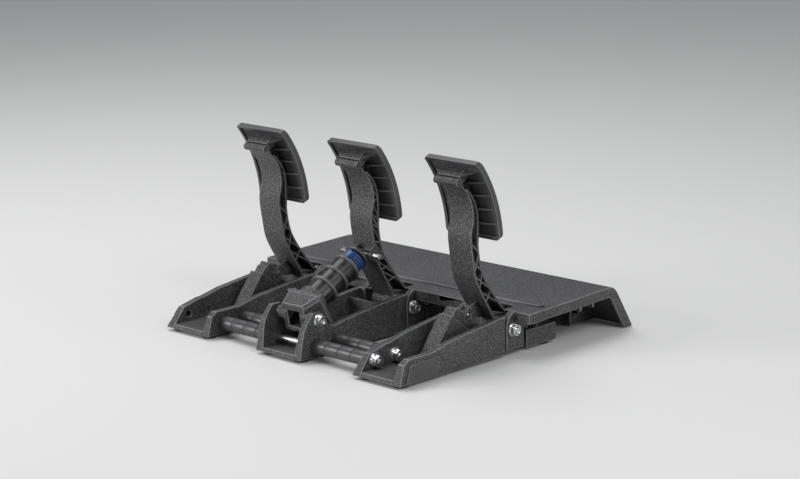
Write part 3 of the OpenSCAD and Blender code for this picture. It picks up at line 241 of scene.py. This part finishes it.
def satin_black():
    """Fine-textured black moulding with a soft sheen, scuffs, and edges lighter from wear and a painted highlight.
    """
    colours = settings().colours
    f = Finish("satin_black", Specular_IOR_Level=0.5)
    edge = f.edge_and_rim()
    fine = f.noise(0.6 * MM, 2.0, 0.6)
    cloud = f.noise(22 * MM, 4.0, 0.6)
    scuff = f.ramp(f.noise(3 * MM, 5.0, 0.7), 0.6, 0.78)
    # Lighter colour for the grain, scuffs and cloud, and for the rounded edges, partly wear and partly a painted
    # highlight
    grain_wear_and_sheen = f.ramp(0.3 * fine + 0.6 * edge + 0.2 * scuff + 0.25 * cloud, 0.2, 1.2)
    return f.feed(Base_Color=f.mix(grain_wear_and_sheen, colours.satin, colours.satin_light),
                  Roughness=0.3 + 0.14 * cloud + 0.1 * scuff,
                  Normal=f.bump(fine, 0.07 * MM, 0.6)).material


def moulded_rubber():
    """Black elastomer with a soft sheen and faint bloom, greyer on its rims."""
    colours = settings().colours
    f = Finish("moulded_rubber", Specular_IOR_Level=0.45)
    rim = f.edge_and_rim()
    bloom = f.ramp(f.noise(7 * MM, 4.0, 0.65), 0.45, 0.8)
    fine = f.noise(0.3 * MM, 2.0, 0.6)
    grey = f.ramp(0.4 * bloom + rim * (0.5 + 0.4 * fine), 0.0, 1.0)
    return f.feed(Base_Color=f.mix(grey, colours.rubber, (0.13, 0.13, 0.134)),
                  Roughness=0.25 + 0.18 * bloom + 0.06 * fine + 0.12 * rim,
                  Normal=f.bump(fine, 0.03 * MM, 0.5)).material


def bright_zinc():
    """Zinc plate: bright, faintly mottled, with fine turning marks."""
    colours = settings().colours
    f = Finish("bright_zinc", Metallic=1.0)
    spangle = f.noise(1.6 * MM, 3.0, 0.6)
    fine = f.noise(0.16 * MM, 2.0, 0.6)
    stain = f.ramp(f.noise(5 * MM, 4.0, 0.6), 0.52, 0.8)
    return f.feed(Base_Color=f.mix(stain, colours.zinc, (0.47, 0.465, 0.45)),
                  Roughness=0.2 + 0.16 * spangle + 0.1 * stain,
                  Normal=f.bump(fine, 0.015 * MM, 0.35)).material


def drawn_steel():
    """Drawn steel with streaks and a thin film of oil."""
    colours = settings().colours
    f = Finish("drawn_steel", Metallic=1.0)
    streak = f.noise(0.5 * MM, 4.0, 0.65)
    tarnish = f.ramp(f.noise(4 * MM, 4.0, 0.6), 0.5, 0.85)
    return f.feed(Base_Color=f.mix(tarnish, colours.steel, (0.3, 0.29, 0.27)),
                  Roughness=0.24 + 0.2 * streak,
                  Normal=f.bump(streak, 0.01 * MM, 0.4)).material


def blue_coat():
    """Blue powder coat with a fine orange-peel skin."""
    colours = settings().colours
    f = Finish("blue_coat", Coat_Weight=1.0, Coat_Roughness=0.06)
    peel = f.noise(0.6 * MM, 2.0, 0.5)
    shade = f.noise(6 * MM, 3.0, 0.6)
    return f.feed(Base_Color=f.mix(shade, colours.spring, (0.012, 0.088, 0.29)),
                  Roughness=0.28 + 0.14 * shade,
                  Normal=f.bump(peel, 0.03 * MM, 0.5)).material


def solder_mask():
    """Green solder mask over faint copper tracks."""
    colours = settings().colours
    f = Finish("solder_mask", Coat_Weight=0.3, Coat_Roughness=0.2)
    tracks = f.ramp(f.cells(3.2 * MM, "DISTANCE_TO_EDGE"), 0.1, 0.06)
    cloud = f.noise(9 * MM, 3.0)
    return f.feed(Base_Color=f.mix(0.55 * tracks + 0.2 * cloud, colours.board, (0.03, 0.17, 0.08)),
                  Roughness=0.3 + 0.2 * cloud,
                  Normal=f.bump(tracks, 0.03 * MM, 0.5)).material


FINISH_MAKERS = {"nylon": grained_nylon, "satin": satin_black, "rubber": moulded_rubber, "zinc": bright_zinc,
                 "steel": drawn_steel, "spring_paint": blue_coat, "board": solder_mask}
finishes = {}


def finish(slot):
    if slot not in finishes:
        finishes[slot] = FINISH_MAKERS[slot]()
    return finishes[slot]


# Meshes

ACROSS = Vector((1, 0, 0))
UP = Vector((0, 0, 1))
STACK_AXIS = Vector(JOINTS["push_rod_slide"]["axis"]).normalized() * -1
BRAKE_TURNS = 4.25
RETURN_WIRE = 1.1 * MM
RETURN_TURNS = 8.0
# Bends in degrees: edges above the first are rounded, and those above the second are too thin for it
SHARP_BEND = 32.0
FEATHER_BEND = 120.0
UNIT_AXIS = {side: Vector(JOINTS[side + "_plunger_slide"]["axis"]).normalized() * -1 for side in SIDES}


class Solid:
    """One separate solid of a CAD node, with Z of its matrix along its axis from its thicker end."""

    def __init__(self, points, axis, turn_round):
        middle = points.mean(axis=0)
        if axis is None:
            axis = Vector(np.linalg.svd(points - middle, full_matrices=False)[2][0])
        spin = axis.to_track_quat("Z", "Y").to_matrix()
        local = (points - middle) @ np.array(spin)
        low, high = local.min(axis=0), local.max(axis=0)
        centre = (low + high) / 2
        reach = np.hypot(local[:, 0] - centre[0], local[:, 1] - centre[1])
        first = local[:, 2] < centre[2]
        flip = turn_round and reach[first].max() + 1e-6 < reach[~first].max()
        end = high[2] if flip else low[2]
        origin = Vector(middle) + spin @ Vector((centre[0], centre[1], end))
        if flip:
            spin = spin @ Matrix.Rotation(math.pi, 3, "X")
        self.matrix = Matrix.Translation(origin) @ spin.to_4x4()
        self.length = float(high[2] - low[2])
        self.radius = float(reach.max())

    def in_mm(self):
        """Radius and length in millimetres."""
        return self.radius / MM, self.length / MM


def solids(node, axis=None, turn_round=True):
    """The separate solids of a CAD node, in a steady order."""
    mesh = frame["nodes"][node].data
    points = np.array([v.co for v in mesh.vertices], float)
    keys = {}
    home = [keys.setdefault(tuple(np.round(p, 6)), len(keys)) for p in points]
    root = list(range(len(keys)))

    def find(i):
        while root[i] != i:
            root[i] = root[root[i]]
            i = root[i]
        return i

    for edge in mesh.edges:
        a, b = (find(home[v]) for v in edge.vertices)
        root[max(a, b)] = min(a, b)
    groups = {}
    for i, p in enumerate(points):
        groups.setdefault(find(home[i]), []).append(p)
    ordered = sorted(groups.values(), key=lambda g: tuple(np.round(min(map(tuple, g)), 5)))
    return [Solid(np.array(g), axis, turn_round) for g in ordered]


def hexagon(across_flats, limit=None):
    """Radius of a hexagon at an angle, at most limit."""
    def radius(angle):
        r = across_flats / 2 / math.cos((angle + math.pi / 6) % (math.pi / 3) - math.pi / 6)
        return min(r, limit) if limit else r
    return radius


def soften(profile, size, steps=3):
    """A profile with its inner corners rounded."""
    made = [profile[0]]
    for before, here, after in zip(profile, profile[1:], profile[2:]):
        b, h, a = (Vector(p) for p in (before, here, after))
        cut = min(size, (b - h).length * 0.45, (a - h).length * 0.45)
        if cut < 1e-6:
            made.append(here)
            continue
        start, end = h + (b - h).normalized() * cut, h + (a - h).normalized() * cut
        for i in range(steps + 1):
            t = i / steps
            made.append(tuple((1 - t) ** 2 * start + 2 * t * (1 - t) * h + t * t * end))
    return made + [profile[-1]]


class Shell:
    """A mesh in the making."""

    def __init__(self):
        self.bm = bmesh.new()

    def join(self, a, b):
        n = max(len(a), len(b))
        for i in range(n):
            j = (i + 1) % n
            if len(a) == 1:
                self.bm.faces.new((a[0], b[i], b[j]))
            elif len(b) == 1:
                self.bm.faces.new((a[i], b[0], a[j]))
            else:
                self.bm.faces.new((a[i], b[i], b[j], a[j]))

    def turn(self, matrix, profile, steps=40, closed=False):
        """Turns a profile of (radius, height) round Z; a radius may be a function of the angle."""
        rings = []
        for radius, height in profile:
            if radius == 0:
                rings.append([self.bm.verts.new(matrix @ Vector((0, 0, height)))])
                continue
            ring = []
            for i in range(steps):
                angle = 2 * math.pi * i / steps
                r = radius(angle) if callable(radius) else radius
                spot = Vector((r * math.cos(angle), r * math.sin(angle), height))
                ring.append(self.bm.verts.new(matrix @ spot))
            rings.append(ring)
        for a, b in zip(rings, rings[1:]):
            self.join(a, b)
        if closed:
            self.join(rings[-1], rings[0])
        return self

    def wind(self, matrix, radius, wire, height, turns, ends=0.0, per_turn=36, sides=14):
        """Winds round wire up Z, with the given number of turns lying close at each end."""
        count = int(turns * per_turn)
        rise = []
        for i in range(count + 1):
            u = i / per_turn
            near = min(u, turns - u)
            k = 1.0 if not ends else min(max((near - ends) / 0.5 + 0.5, 0.0), 1.0)
            rise.append(k)
        close = wire * 1.03 / per_turn
        free = height - wire - close * sum(1 - k for k in rise[1:])
        step = free / sum(rise[1:])
        z, spots = wire / 2, []
        for i, k in enumerate(rise):
            z += (k * step + (1 - k) * close) if i else 0.0
            angle = 2 * math.pi * i / per_turn
            spots.append(Vector((radius * math.cos(angle), radius * math.sin(angle), z)))
        rings = []
        for i, p in enumerate(spots):
            along = (spots[min(i + 1, count)] - spots[max(i - 1, 0)]).normalized()
            out = Vector((p.x, p.y, 0)).normalized()
            side = along.cross(out).normalized()
            out = side.cross(along)
            ring = []
            for k in range(sides):
                angle = 2 * math.pi * k / sides
                spot = p + wire / 2 * (math.cos(angle) * out + math.sin(angle) * side)
                ring.append(self.bm.verts.new(matrix @ spot))
            rings.append(ring)
        for a, b in zip(rings, rings[1:]):
            self.join(a, b)
        for ring in (rings[0], rings[-1]):
            self.bm.faces.new(ring)
        return self

    def block(self, low, high, edge):
        """A box between two corners, with its edges rounded."""
        place = Matrix.Translation((low + high) / 2) @ Matrix.Diagonal((*(high - low), 1))
        made = bmesh.ops.create_cube(self.bm, size=1.0, matrix=place)
        edges = list(dict.fromkeys(e for v in made["verts"] for e in v.link_edges))
        bmesh.ops.bevel(self.bm, geom=edges, offset=edge, segments=2, profile=0.5, affect="EDGES",
                        clamp_overlap=True)
        return self

    def moulding(self, node, edge):
        """A CAD node's surface with its sharp outer edges rounded."""
        bm = self.bm
        bm.from_mesh(frame["nodes"][node].data)
        bmesh.ops.remove_doubles(bm, verts=bm.verts, dist=2e-6)
        bmesh.ops.dissolve_limit(bm, angle_limit=math.radians(0.4), verts=bm.verts, edges=bm.edges)
        bmesh.ops.triangulate(bm, faces=[f for f in bm.faces if len(f.verts) > 4], ngon_method="BEAUTY")
        bends = {e: math.degrees(e.calc_face_angle_signed(0.0)) for e in bm.edges}
        feather = {v for e, bend in bends.items() if bend > FEATHER_BEND for v in e.verts}
        sharp = [e for e, bend in bends.items() if bend > SHARP_BEND and e.calc_length() > 0.2 * edge
                 and feather.isdisjoint(e.verts)]
        # The rounded faces are marked; finishes lighten them, partly for wear and partly as a painted edge
        # highlight
        edge_and_rim = bm.faces.layers.float.new("edge_and_rim")
        made = bmesh.ops.bevel(bm, geom=sharp, offset=edge, offset_type="OFFSET", segments=2, profile=0.5,
                               affect="EDGES", clamp_overlap=False)
        for face in made["faces"]:
            face[edge_and_rim] = 1.0
        return self

    def mark_rim(self, matrix, radius):
        """Marks the faces further than a radius from Z, the rims that the rubber finish greys."""
        edge_and_rim = self.bm.faces.layers.float.new("edge_and_rim")
        inward = matrix.inverted()
        for face in self.bm.faces:
            if (inward @ face.calc_center_median()).xy.length > radius:
                face[edge_and_rim] = 1.0
        return self

    def piece(self, name, node=None, slot=None, body=None, smooth=38.0):
        """Makes the object, which stands for a CAD node and rides on its body, or is added to a body."""
        bmesh.ops.recalc_face_normals(self.bm, faces=self.bm.faces)
        mesh = bpy.data.meshes.new(name)
        self.bm.to_mesh(mesh)
        self.bm.free()
        mesh.shade_smooth()
        mesh.set_sharp_from_angle(angle=math.radians(smooth))
        slot = slot or SLOT_OF[node]
        mesh.materials.append(finish(slot))
        made = bpy.data.objects.new(name, mesh)
        bpy.context.scene.collection.objects.link(made)
        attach(made, body or BODY_OF[node])
        if node:
            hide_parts(node)
        return made


# Turned pieces

# Radii of the bolts' shanks and of the holes that they and the pivot sleeves pass, in millimetres
SHANK = 3.0
CLOSE_HOLE = 3.05
CLEAR_HOLE = 3.15
SLEEVE_HOLE = 4.55


def mm(*profile):
    """A profile given in millimetres."""
    return [(r if callable(r) else r * MM, z * MM) for r, z in profile]


def thread_end(radius, length, turns=2, pitch=0.8):
    """The last turns of a thread and the chamfered end of a bolt or rod, in millimetres."""
    top = length - 0.7
    groove = [(r, top - (turns - i) * pitch + s * pitch / 2) for i in range(turns)
              for r, s in ((radius, 0), (radius * 0.9, 1))]
    return groove + [(radius, top), (radius - 0.6, length), (0, length)]


def flange_nut(shell, solid, bore):
    """Hexagonal nut with a conical flange."""
    outer, height = solid.in_mm()
    flats = outer * 1.54
    side = hexagon(flats * MM, flats * 0.6 * MM)
    crown = hexagon(flats * MM, flats * 0.53 * MM)
    flange = [(bore + 0.4, 0), (outer - 0.4, 0), (outer, 0.35), (outer, 0.9), (outer - 0.35, 1.25)]
    hexagonal = [(side, 2.0), (side, height - 0.9), (crown, height - 0.2), (flats * 0.47, height)]
    hole = [(bore + 0.5, height), (bore, height - 0.5), (bore, 0.4)]
    shell.turn(solid.matrix, mm(*flange, *hexagonal, *hole), steps=48, closed=True)


def flange_bolt(shell, solid, shank):
    """Bolt with a flanged round head and a hexagon socket."""
    outer, length = solid.in_mm()
    key = hexagon(shank * 1.34 * MM)
    depth, seat = 2.9, 5.4
    socket = [(0, depth), (key, depth), (key, 0.35), (shank * 0.86, 0)]
    head = [(outer * 0.68, 0), (outer * 0.745, 0.25), (outer * 0.77, 0.8), (outer * 0.77, 3.2)]
    flange = [(outer * 0.82, 3.7), (outer - 0.3, 4.1), (outer, 4.4), (outer, 5.1), (outer - 0.3, seat)]
    shell.turn(solid.matrix, mm(*socket, *head, *flange, (shank, seat), *thread_end(shank, length)), steps=48)


def socket_screw(shell, solid, shank, head):
    """Screw with a round head and a hexagon socket."""
    outer, length = solid.in_mm()
    key = hexagon(shank * 1.6 * MM)
    depth = head * 0.6
    socket = [(0, depth), (key, depth), (key, 0.25), (shank * 0.98, 0)]
    crown = [(outer - 0.5, 0), (outer - 0.15, 0.15), (outer, 0.5), (outer, head - 0.2), (outer - 0.2, head)]
    shell.turn(solid.matrix, mm(*socket, *crown, (shank, head), *thread_end(shank, length)), steps=36)


def pin(shell, solid, chamfer=0.6):
    """Plain pin with chamfered ends."""
    outer, length = solid.in_mm()
    end = [(0, 0), (outer - chamfer, 0), (outer - 0.1, chamfer * 0.8), (outer, chamfer * 1.2)]
    shell.turn(solid.matrix, mm(*end, *[(r, length - z) for r, z in reversed(end)]))


def bush(shell, solid, bore, edge=0.5):
    """Ring or tube with rounded edges."""
    outer, length = solid.in_mm()
    outline = soften([(bore, length / 2), (bore, 0), (outer, 0), (outer, length), (bore, length),
                      (bore, length / 2)], edge)
    shell.turn(solid.matrix, mm(*outline[:-1]), closed=True)


def turned(name, make, size):
    """Makes the crosswise solids of a node, which stand for it."""
    shell = Shell()
    for solid in solids(name, ACROSS):
        make(shell, solid, size)
    shell.piece(name + "_turned", name)


# Operators

class PEDALSET_OT_mouldings(bpy.types.Operator):
    """Rounds the edges of the plate, bases, arms, pads, housings and hood"""
    bl_idname = "pedalset.mouldings"
    bl_label = "Mouldings"

    def execute(self, context):
        edge = settings().edge_round
        whole = ["heel_plate", "brake_hood", "hood_plate"]
        fine = ["heel_stop_strip"]
        for pedal in PEDALS:
            whole += [pedal + "_base"]
            fine += [pedal + "_arm", pedal + "_pad_bracket", pedal + "_pad"]
        for side in SIDES:
            whole.append(side + "_spring_housing")
            fine += [side + "_side_plate", side + "_plunger"]
        grained = {"throttle_plunger", "clutch_plunger"}
        for names, size in ((whole, edge), (fine, edge * 0.7)):
            for name in names:
                slot = "nylon" if name in grained else None
                Shell().moulding(name, size).piece(name + "_moulding", name, slot, smooth=20.0)
        return {"FINISHED"}


class PEDALSET_OT_springs(bpy.types.Operator):
    """Winds the brake spring and the two return springs"""
    bl_idname = "pedalset.springs"
    bl_label = "Springs"

    def execute(self, context):
        wire = settings().spring_wire
        spring = solids("brake_spring", STACK_AXIS, False)[0]
        shell = Shell().wind(spring.matrix, spring.radius - wire / 2, wire, spring.length, BRAKE_TURNS)
        made = shell.piece("blue_brake_spring", "brake_spring")
        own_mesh(made)
        for side in SIDES:
            axis = UNIT_AXIS[side]
            coil = solids(side + "_return_spring", axis, False)[0]
            shell = Shell().wind(coil.matrix, coil.radius - RETURN_WIRE / 2, RETURN_WIRE, coil.length,
                                 RETURN_TURNS, ends=0.8, per_turn=28, sides=10)
            made = shell.piece(side + "_wound_spring", side + "_return_spring")
            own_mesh(made)
        return {"FINISHED"}


class PEDALSET_OT_elastomers(bpy.types.Operator):
    """Moulds the three flanged elastomers of the brake stack"""
    bl_idname = "pedalset.elastomers"
    bl_label = "Elastomers"

    def execute(self, context):
        for place in ("front", "middle", "rear"):
            ring = solids(place + "_elastomer", STACK_AXIS)[0]
            flange, length = ring.in_mm()
            bore, sleeve, rim, flange_t = 4.3, flange - 2.05, flange - 1.6, 3.0
            section = [(bore, length / 2), (bore, 0), (flange, 0), (flange, flange_t), (sleeve, flange_t),
                       (sleeve, length), (bore, length), (bore, length / 2)]
            outline = soften(section, 0.85, 4)
            shell = Shell().turn(ring.matrix, mm(*outline[:-1]), 64, closed=True)
            shell.mark_rim(ring.matrix, rim * MM)
            made = shell.piece(place + "_rubber_ring", place + "_elastomer")
            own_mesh(made)
        return {"FINISHED"}


class PEDALSET_OT_rods(bpy.types.Operator):
    """Turns the tie rods with their spacers, washers and flanged nuts"""
    bl_idname = "pedalset.rods"
    bl_label = "Tie rods"

    def execute(self, context):
        for name in ("front_tie_rod", "rear_tie_rod"):
            rod = solids(name, ACROSS)[0]
            radius, length = rod.in_mm()
            end = thread_end(radius, length, 4)
            shell = Shell().turn(rod.matrix, mm(*[(r, length - z) for r, z in reversed(end)], *end), 36)
            shell.piece(name + "_turned", name)
        turned("rod_spacers", bush, CLEAR_HOLE)
        turned("rod_washers", bush, CLEAR_HOLE)
        turned("rod_nuts", flange_nut, CLOSE_HOLE)
        return {"FINISHED"}


class PEDALSET_OT_pivots(bpy.types.Operator):
    """Turns the bolts, nuts, sleeves and washers of the pivots"""
    bl_idname = "pedalset.pivots"
    bl_label = "Pivots"

    def execute(self, context):
        turned("pivot_bolts", flange_bolt, SHANK)
        turned("pivot_nuts", flange_nut, CLOSE_HOLE)
        turned("pivot_sleeves", bush, CLOSE_HOLE)
        turned("thrust_washers", bush, SLEEVE_HOLE)
        turned("hood_pivot_bolts", flange_bolt, SHANK)
        turned("hood_spacers", bush, CLOSE_HOLE)
        return {"FINISHED"}


class PEDALSET_OT_screws(bpy.types.Operator):
    """Turns the small socket screws"""
    bl_idname = "pedalset.screws"
    bl_label = "Screws"

    def execute(self, context):
        kinds = [("heel_screws", 2.0, 4.0, UP), ("hood_plate_screws", 1.5, 3.0, STACK_AXIS),
                 ("load_cell_screws", 1.5, 3.0, STACK_AXIS), ("board_screws", 1.5, 2.0, UP)]
        kinds += [(pedal + "_pad_screws", 2.5, 2.2, None) for pedal in PEDALS]
        for name, shank, head, axis in kinds:
            shell = Shell()
            for solid in solids(name, axis):
                socket_screw(shell, solid, shank, head)
            shell.piece(name + "_turned", name, "satin" if name == "hood_plate_screws" else None)
        return {"FINISHED"}


class PEDALSET_OT_pins(bpy.types.Operator):
    """Turns the pins, clips, magnets and the push rod"""
    bl_idname = "pedalset.pins"
    bl_label = "Pins"

    def execute(self, context):
        names = ["housing_pins", "cross_pin"]
        for side in SIDES:
            names += [side + "_plunger_pin", side + "_magnet"]
        for name in names:
            turned(name, pin, 0.3 if "magnet" in name else 0.6)
        shell = Shell()
        for solid in solids("cross_pin_clips", ACROSS):
            bush(shell, solid, solid.radius / MM - 1.95, 0.35)
        shell.piece("cross_pin_clips_turned", "cross_pin_clips")
        Shell().moulding("push_rod", 0.35 * MM).piece("push_rod_machined", "push_rod", "satin")
        return {"FINISHED"}


GROOVE = 0.5


class PEDALSET_OT_feet(bpy.types.Operator):
    """Moulds the rubber feet with a grooved sole"""
    bl_idname = "pedalset.feet"
    bl_label = "Feet"

    def execute(self, context):
        shell = Shell()
        for foot in solids("rubber_feet", -UP):
            outer, height = foot.in_mm()
            side = [(outer - 0.4, 0), (outer, 0.4), (outer, height - 1), (outer - 0.7, height)]
            floor = height - GROOVE
            grooves = []
            for edge in (outer - 1.6, outer - 4.0):
                grooves += [(edge, height), (edge - 0.4, floor), (edge - 1.0, floor), (edge - 1.4, height)]
            shell.turn(foot.matrix, mm((0, 0), *soften(side + grooves, 0.2, 2), (0, height)))
        shell.piece("rubber_feet_moulded", "rubber_feet")
        return {"FINISHED"}


# Middle, width, depth and height of the chips under the controller board, in millimetres
CHIPS = ((0, -3, 10, 10, 1.2), (-12, -4, 5, 4, 1.1), (12, -5, 6, 5, 1.3), (13, 5, 3, 1.6, 0.8),
         (-9, 6, 3, 1.6, 0.8), (-14, 3, 2, 1.2, 0.7), (7, 8, 2, 1.2, 0.7))


class PEDALSET_OT_electronics(bpy.types.Operator):
    """Makes the boards with their parts, the data socket and the load cell"""
    bl_idname = "pedalset.electronics"
    bl_label = "Electronics"

    def execute(self, context):
        for name in ("controller_board", "sensor_boards", "load_cell"):
            Shell().moulding(name, 0.2 * MM).piece(name + "_made", name)
        Shell().moulding("data_socket", 0.25 * MM).piece("data_socket_shell", "data_socket")
        low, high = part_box("controller_board")
        under = Vector(((low.x + high.x) / 2, (low.y + high.y) / 2, low.z))
        shell = Shell()
        for x, y, width, depth, height in CHIPS:
            corner = Vector((x - width / 2, y - depth / 2, -height)) * MM
            opposite = Vector((x + width / 2, y + depth / 2, 0.05)) * MM
            shell.block(under + corner, under + opposite, 0.2 * MM)
        shell.piece("board_chips", slot="satin", body="base")
        return {"FINISHED"}


class PEDALSET_OT_finishes(bpy.types.Operator):
    """Gives every node of the frame its finish"""
    bl_idname = "pedalset.finishes"
    bl_label = "Finishes"

    def execute(self, context):
        for name, node in frame["nodes"].items():
            node.data.materials.clear()
            node.data.materials.append(finish(SLOT_OF[name]))
        return {"FINISHED"}


# Name, place, width in metres and watts of each lamp
LIGHTS = (("overhead", (0.6, -0.1, 1.6), 1.2, 15), ("key", (-1.3, 0.35, 1.25), 0.7, 8),
          ("side_fill", (-1.9, -0.5, 0.55), 0.9, 8), ("toe_fill", (1.2, 1.6, 0.7), 0.8, 22))
CAMERA_PLACE = (-1.4150, 1.46795, 0.5541)
CAMERA_LENS = 102.77
# Yaw, pitch and roll of the camera in degrees
CAMERA_TURN = (43.71, 13.03, -0.78)
FLOOR_HALF = 9.0


class PEDALSET_OT_stage(bpy.types.Operator):
    """Adds the floor, the soft lights and the camera at the photograph's angle"""
    bl_idname = "pedalset.stage"
    bl_label = "Stage"

    def execute(self, context):
        scene = context.scene
        scene.view_settings.view_transform = "Standard"
        self.add_floor(scene)
        self.add_world(scene)
        self.add_lights(scene)
        self.add_camera(scene)
        return {"FINISHED"}

    def add_floor(self, scene):
        mesh = bpy.data.meshes.new("floor")
        corners = [(x * FLOOR_HALF, y * FLOOR_HALF, 0) for x, y in ((-1, -1), (1, -1), (1, 1), (-1, 1))]
        mesh.from_pydata(corners, [], [(0, 1, 2, 3)])
        floor = bpy.data.objects.new("floor", mesh)
        scene.collection.objects.link(floor)
        f = Finish("pale_floor", Specular_IOR_Level=0.3)
        cloud = f.noise(0.6, 3.0)
        f.feed(Base_Color=f.mix(cloud * 0.12, settings().colours.floor, (0.66, 0.66, 0.655)),
               Roughness=0.5 + 0.1 * cloud)
        mesh.materials.append(f.material)

    def add_world(self, scene):
        world = bpy.data.worlds.new("studio")
        world.use_nodes = True
        shade = world.node_tree.nodes["Background"]
        shade.inputs["Color"].default_value = (0.9, 0.92, 0.95, 1)
        shade.inputs["Strength"].default_value = 0.34
        scene.world = world

    def add_lights(self, scene):
        aim = Vector((0, 0, 0.06))
        for name, place, size, watts in LIGHTS:
            lamp = bpy.data.lights.new(name, "AREA")
            lamp.shape = "DISK"
            lamp.size = size
            lamp.energy = watts
            light = bpy.data.objects.new(name, lamp)
            light.location = place
            light.rotation_euler = (aim - Vector(place)).to_track_quat("-Z", "Y").to_euler()
            scene.collection.objects.link(light)

    def add_camera(self, scene):
        yaw, pitch, roll = (math.radians(a) for a in CAMERA_TURN)
        back = Vector((-math.sin(yaw) * math.cos(pitch), math.cos(yaw) * math.cos(pitch), math.sin(pitch)))
        right = UP.cross(back).normalized()
        up = back.cross(right)
        turned_right = math.cos(roll) * right + math.sin(roll) * up
        turned_up = -math.sin(roll) * right + math.cos(roll) * up
        data = bpy.data.cameras.new("camera")
        data.sensor_fit = "HORIZONTAL"
        data.sensor_width = 36.0
        data.lens = CAMERA_LENS
        data.clip_end = 50.0
        camera = bpy.data.objects.new("camera", data)
        camera.matrix_world = Matrix.Translation(CAMERA_PLACE) @ Matrix(
            (turned_right, turned_up, back)).transposed().to_4x4()
        scene.collection.objects.link(camera)
        scene.camera = camera


class PEDALSET_PT_panel(bpy.types.Panel):
    """Lists the steps that dress the set"""
    bl_label = "Pedal Set"
    bl_idname = "PEDALSET_PT_panel"
    bl_space_type = "VIEW_3D"
    bl_region_type = "UI"
    bl_category = "Pedal Set"

    def draw(self, context):
        for operator in OPERATORS:
            self.layout.operator(operator.bl_idname)


OPERATORS = (PEDALSET_OT_finishes, PEDALSET_OT_mouldings, PEDALSET_OT_springs, PEDALSET_OT_elastomers,
             PEDALSET_OT_rods, PEDALSET_OT_pivots, PEDALSET_OT_screws, PEDALSET_OT_pins, PEDALSET_OT_feet,
             PEDALSET_OT_electronics, PEDALSET_OT_stage)
CLASSES = (FinishColours, PedalSetSettings, *OPERATORS, PEDALSET_PT_panel)


def register():
    for cls in CLASSES:
        bpy.utils.register_class(cls)
    bpy.types.Scene.pedal_set = PointerProperty(name="Pedal set", description="Sizes and colours of the set",
                                                type=PedalSetSettings)


def unregister():
    del bpy.types.Scene.pedal_set
    for cls in reversed(CLASSES):
        bpy.utils.unregister_class(cls)


def main():
    register()
    bpy.ops.pedalset.finishes()
    bpy.ops.pedalset.mouldings()
    bpy.ops.pedalset.springs()
    bpy.ops.pedalset.elastomers()
    bpy.ops.pedalset.rods()
    bpy.ops.pedalset.pivots()
    bpy.ops.pedalset.screws()
    bpy.ops.pedalset.pins()
    bpy.ops.pedalset.feet()
    bpy.ops.pedalset.electronics()
    bpy.ops.pedalset.stage()


if __name__ == "__main__":
    main()
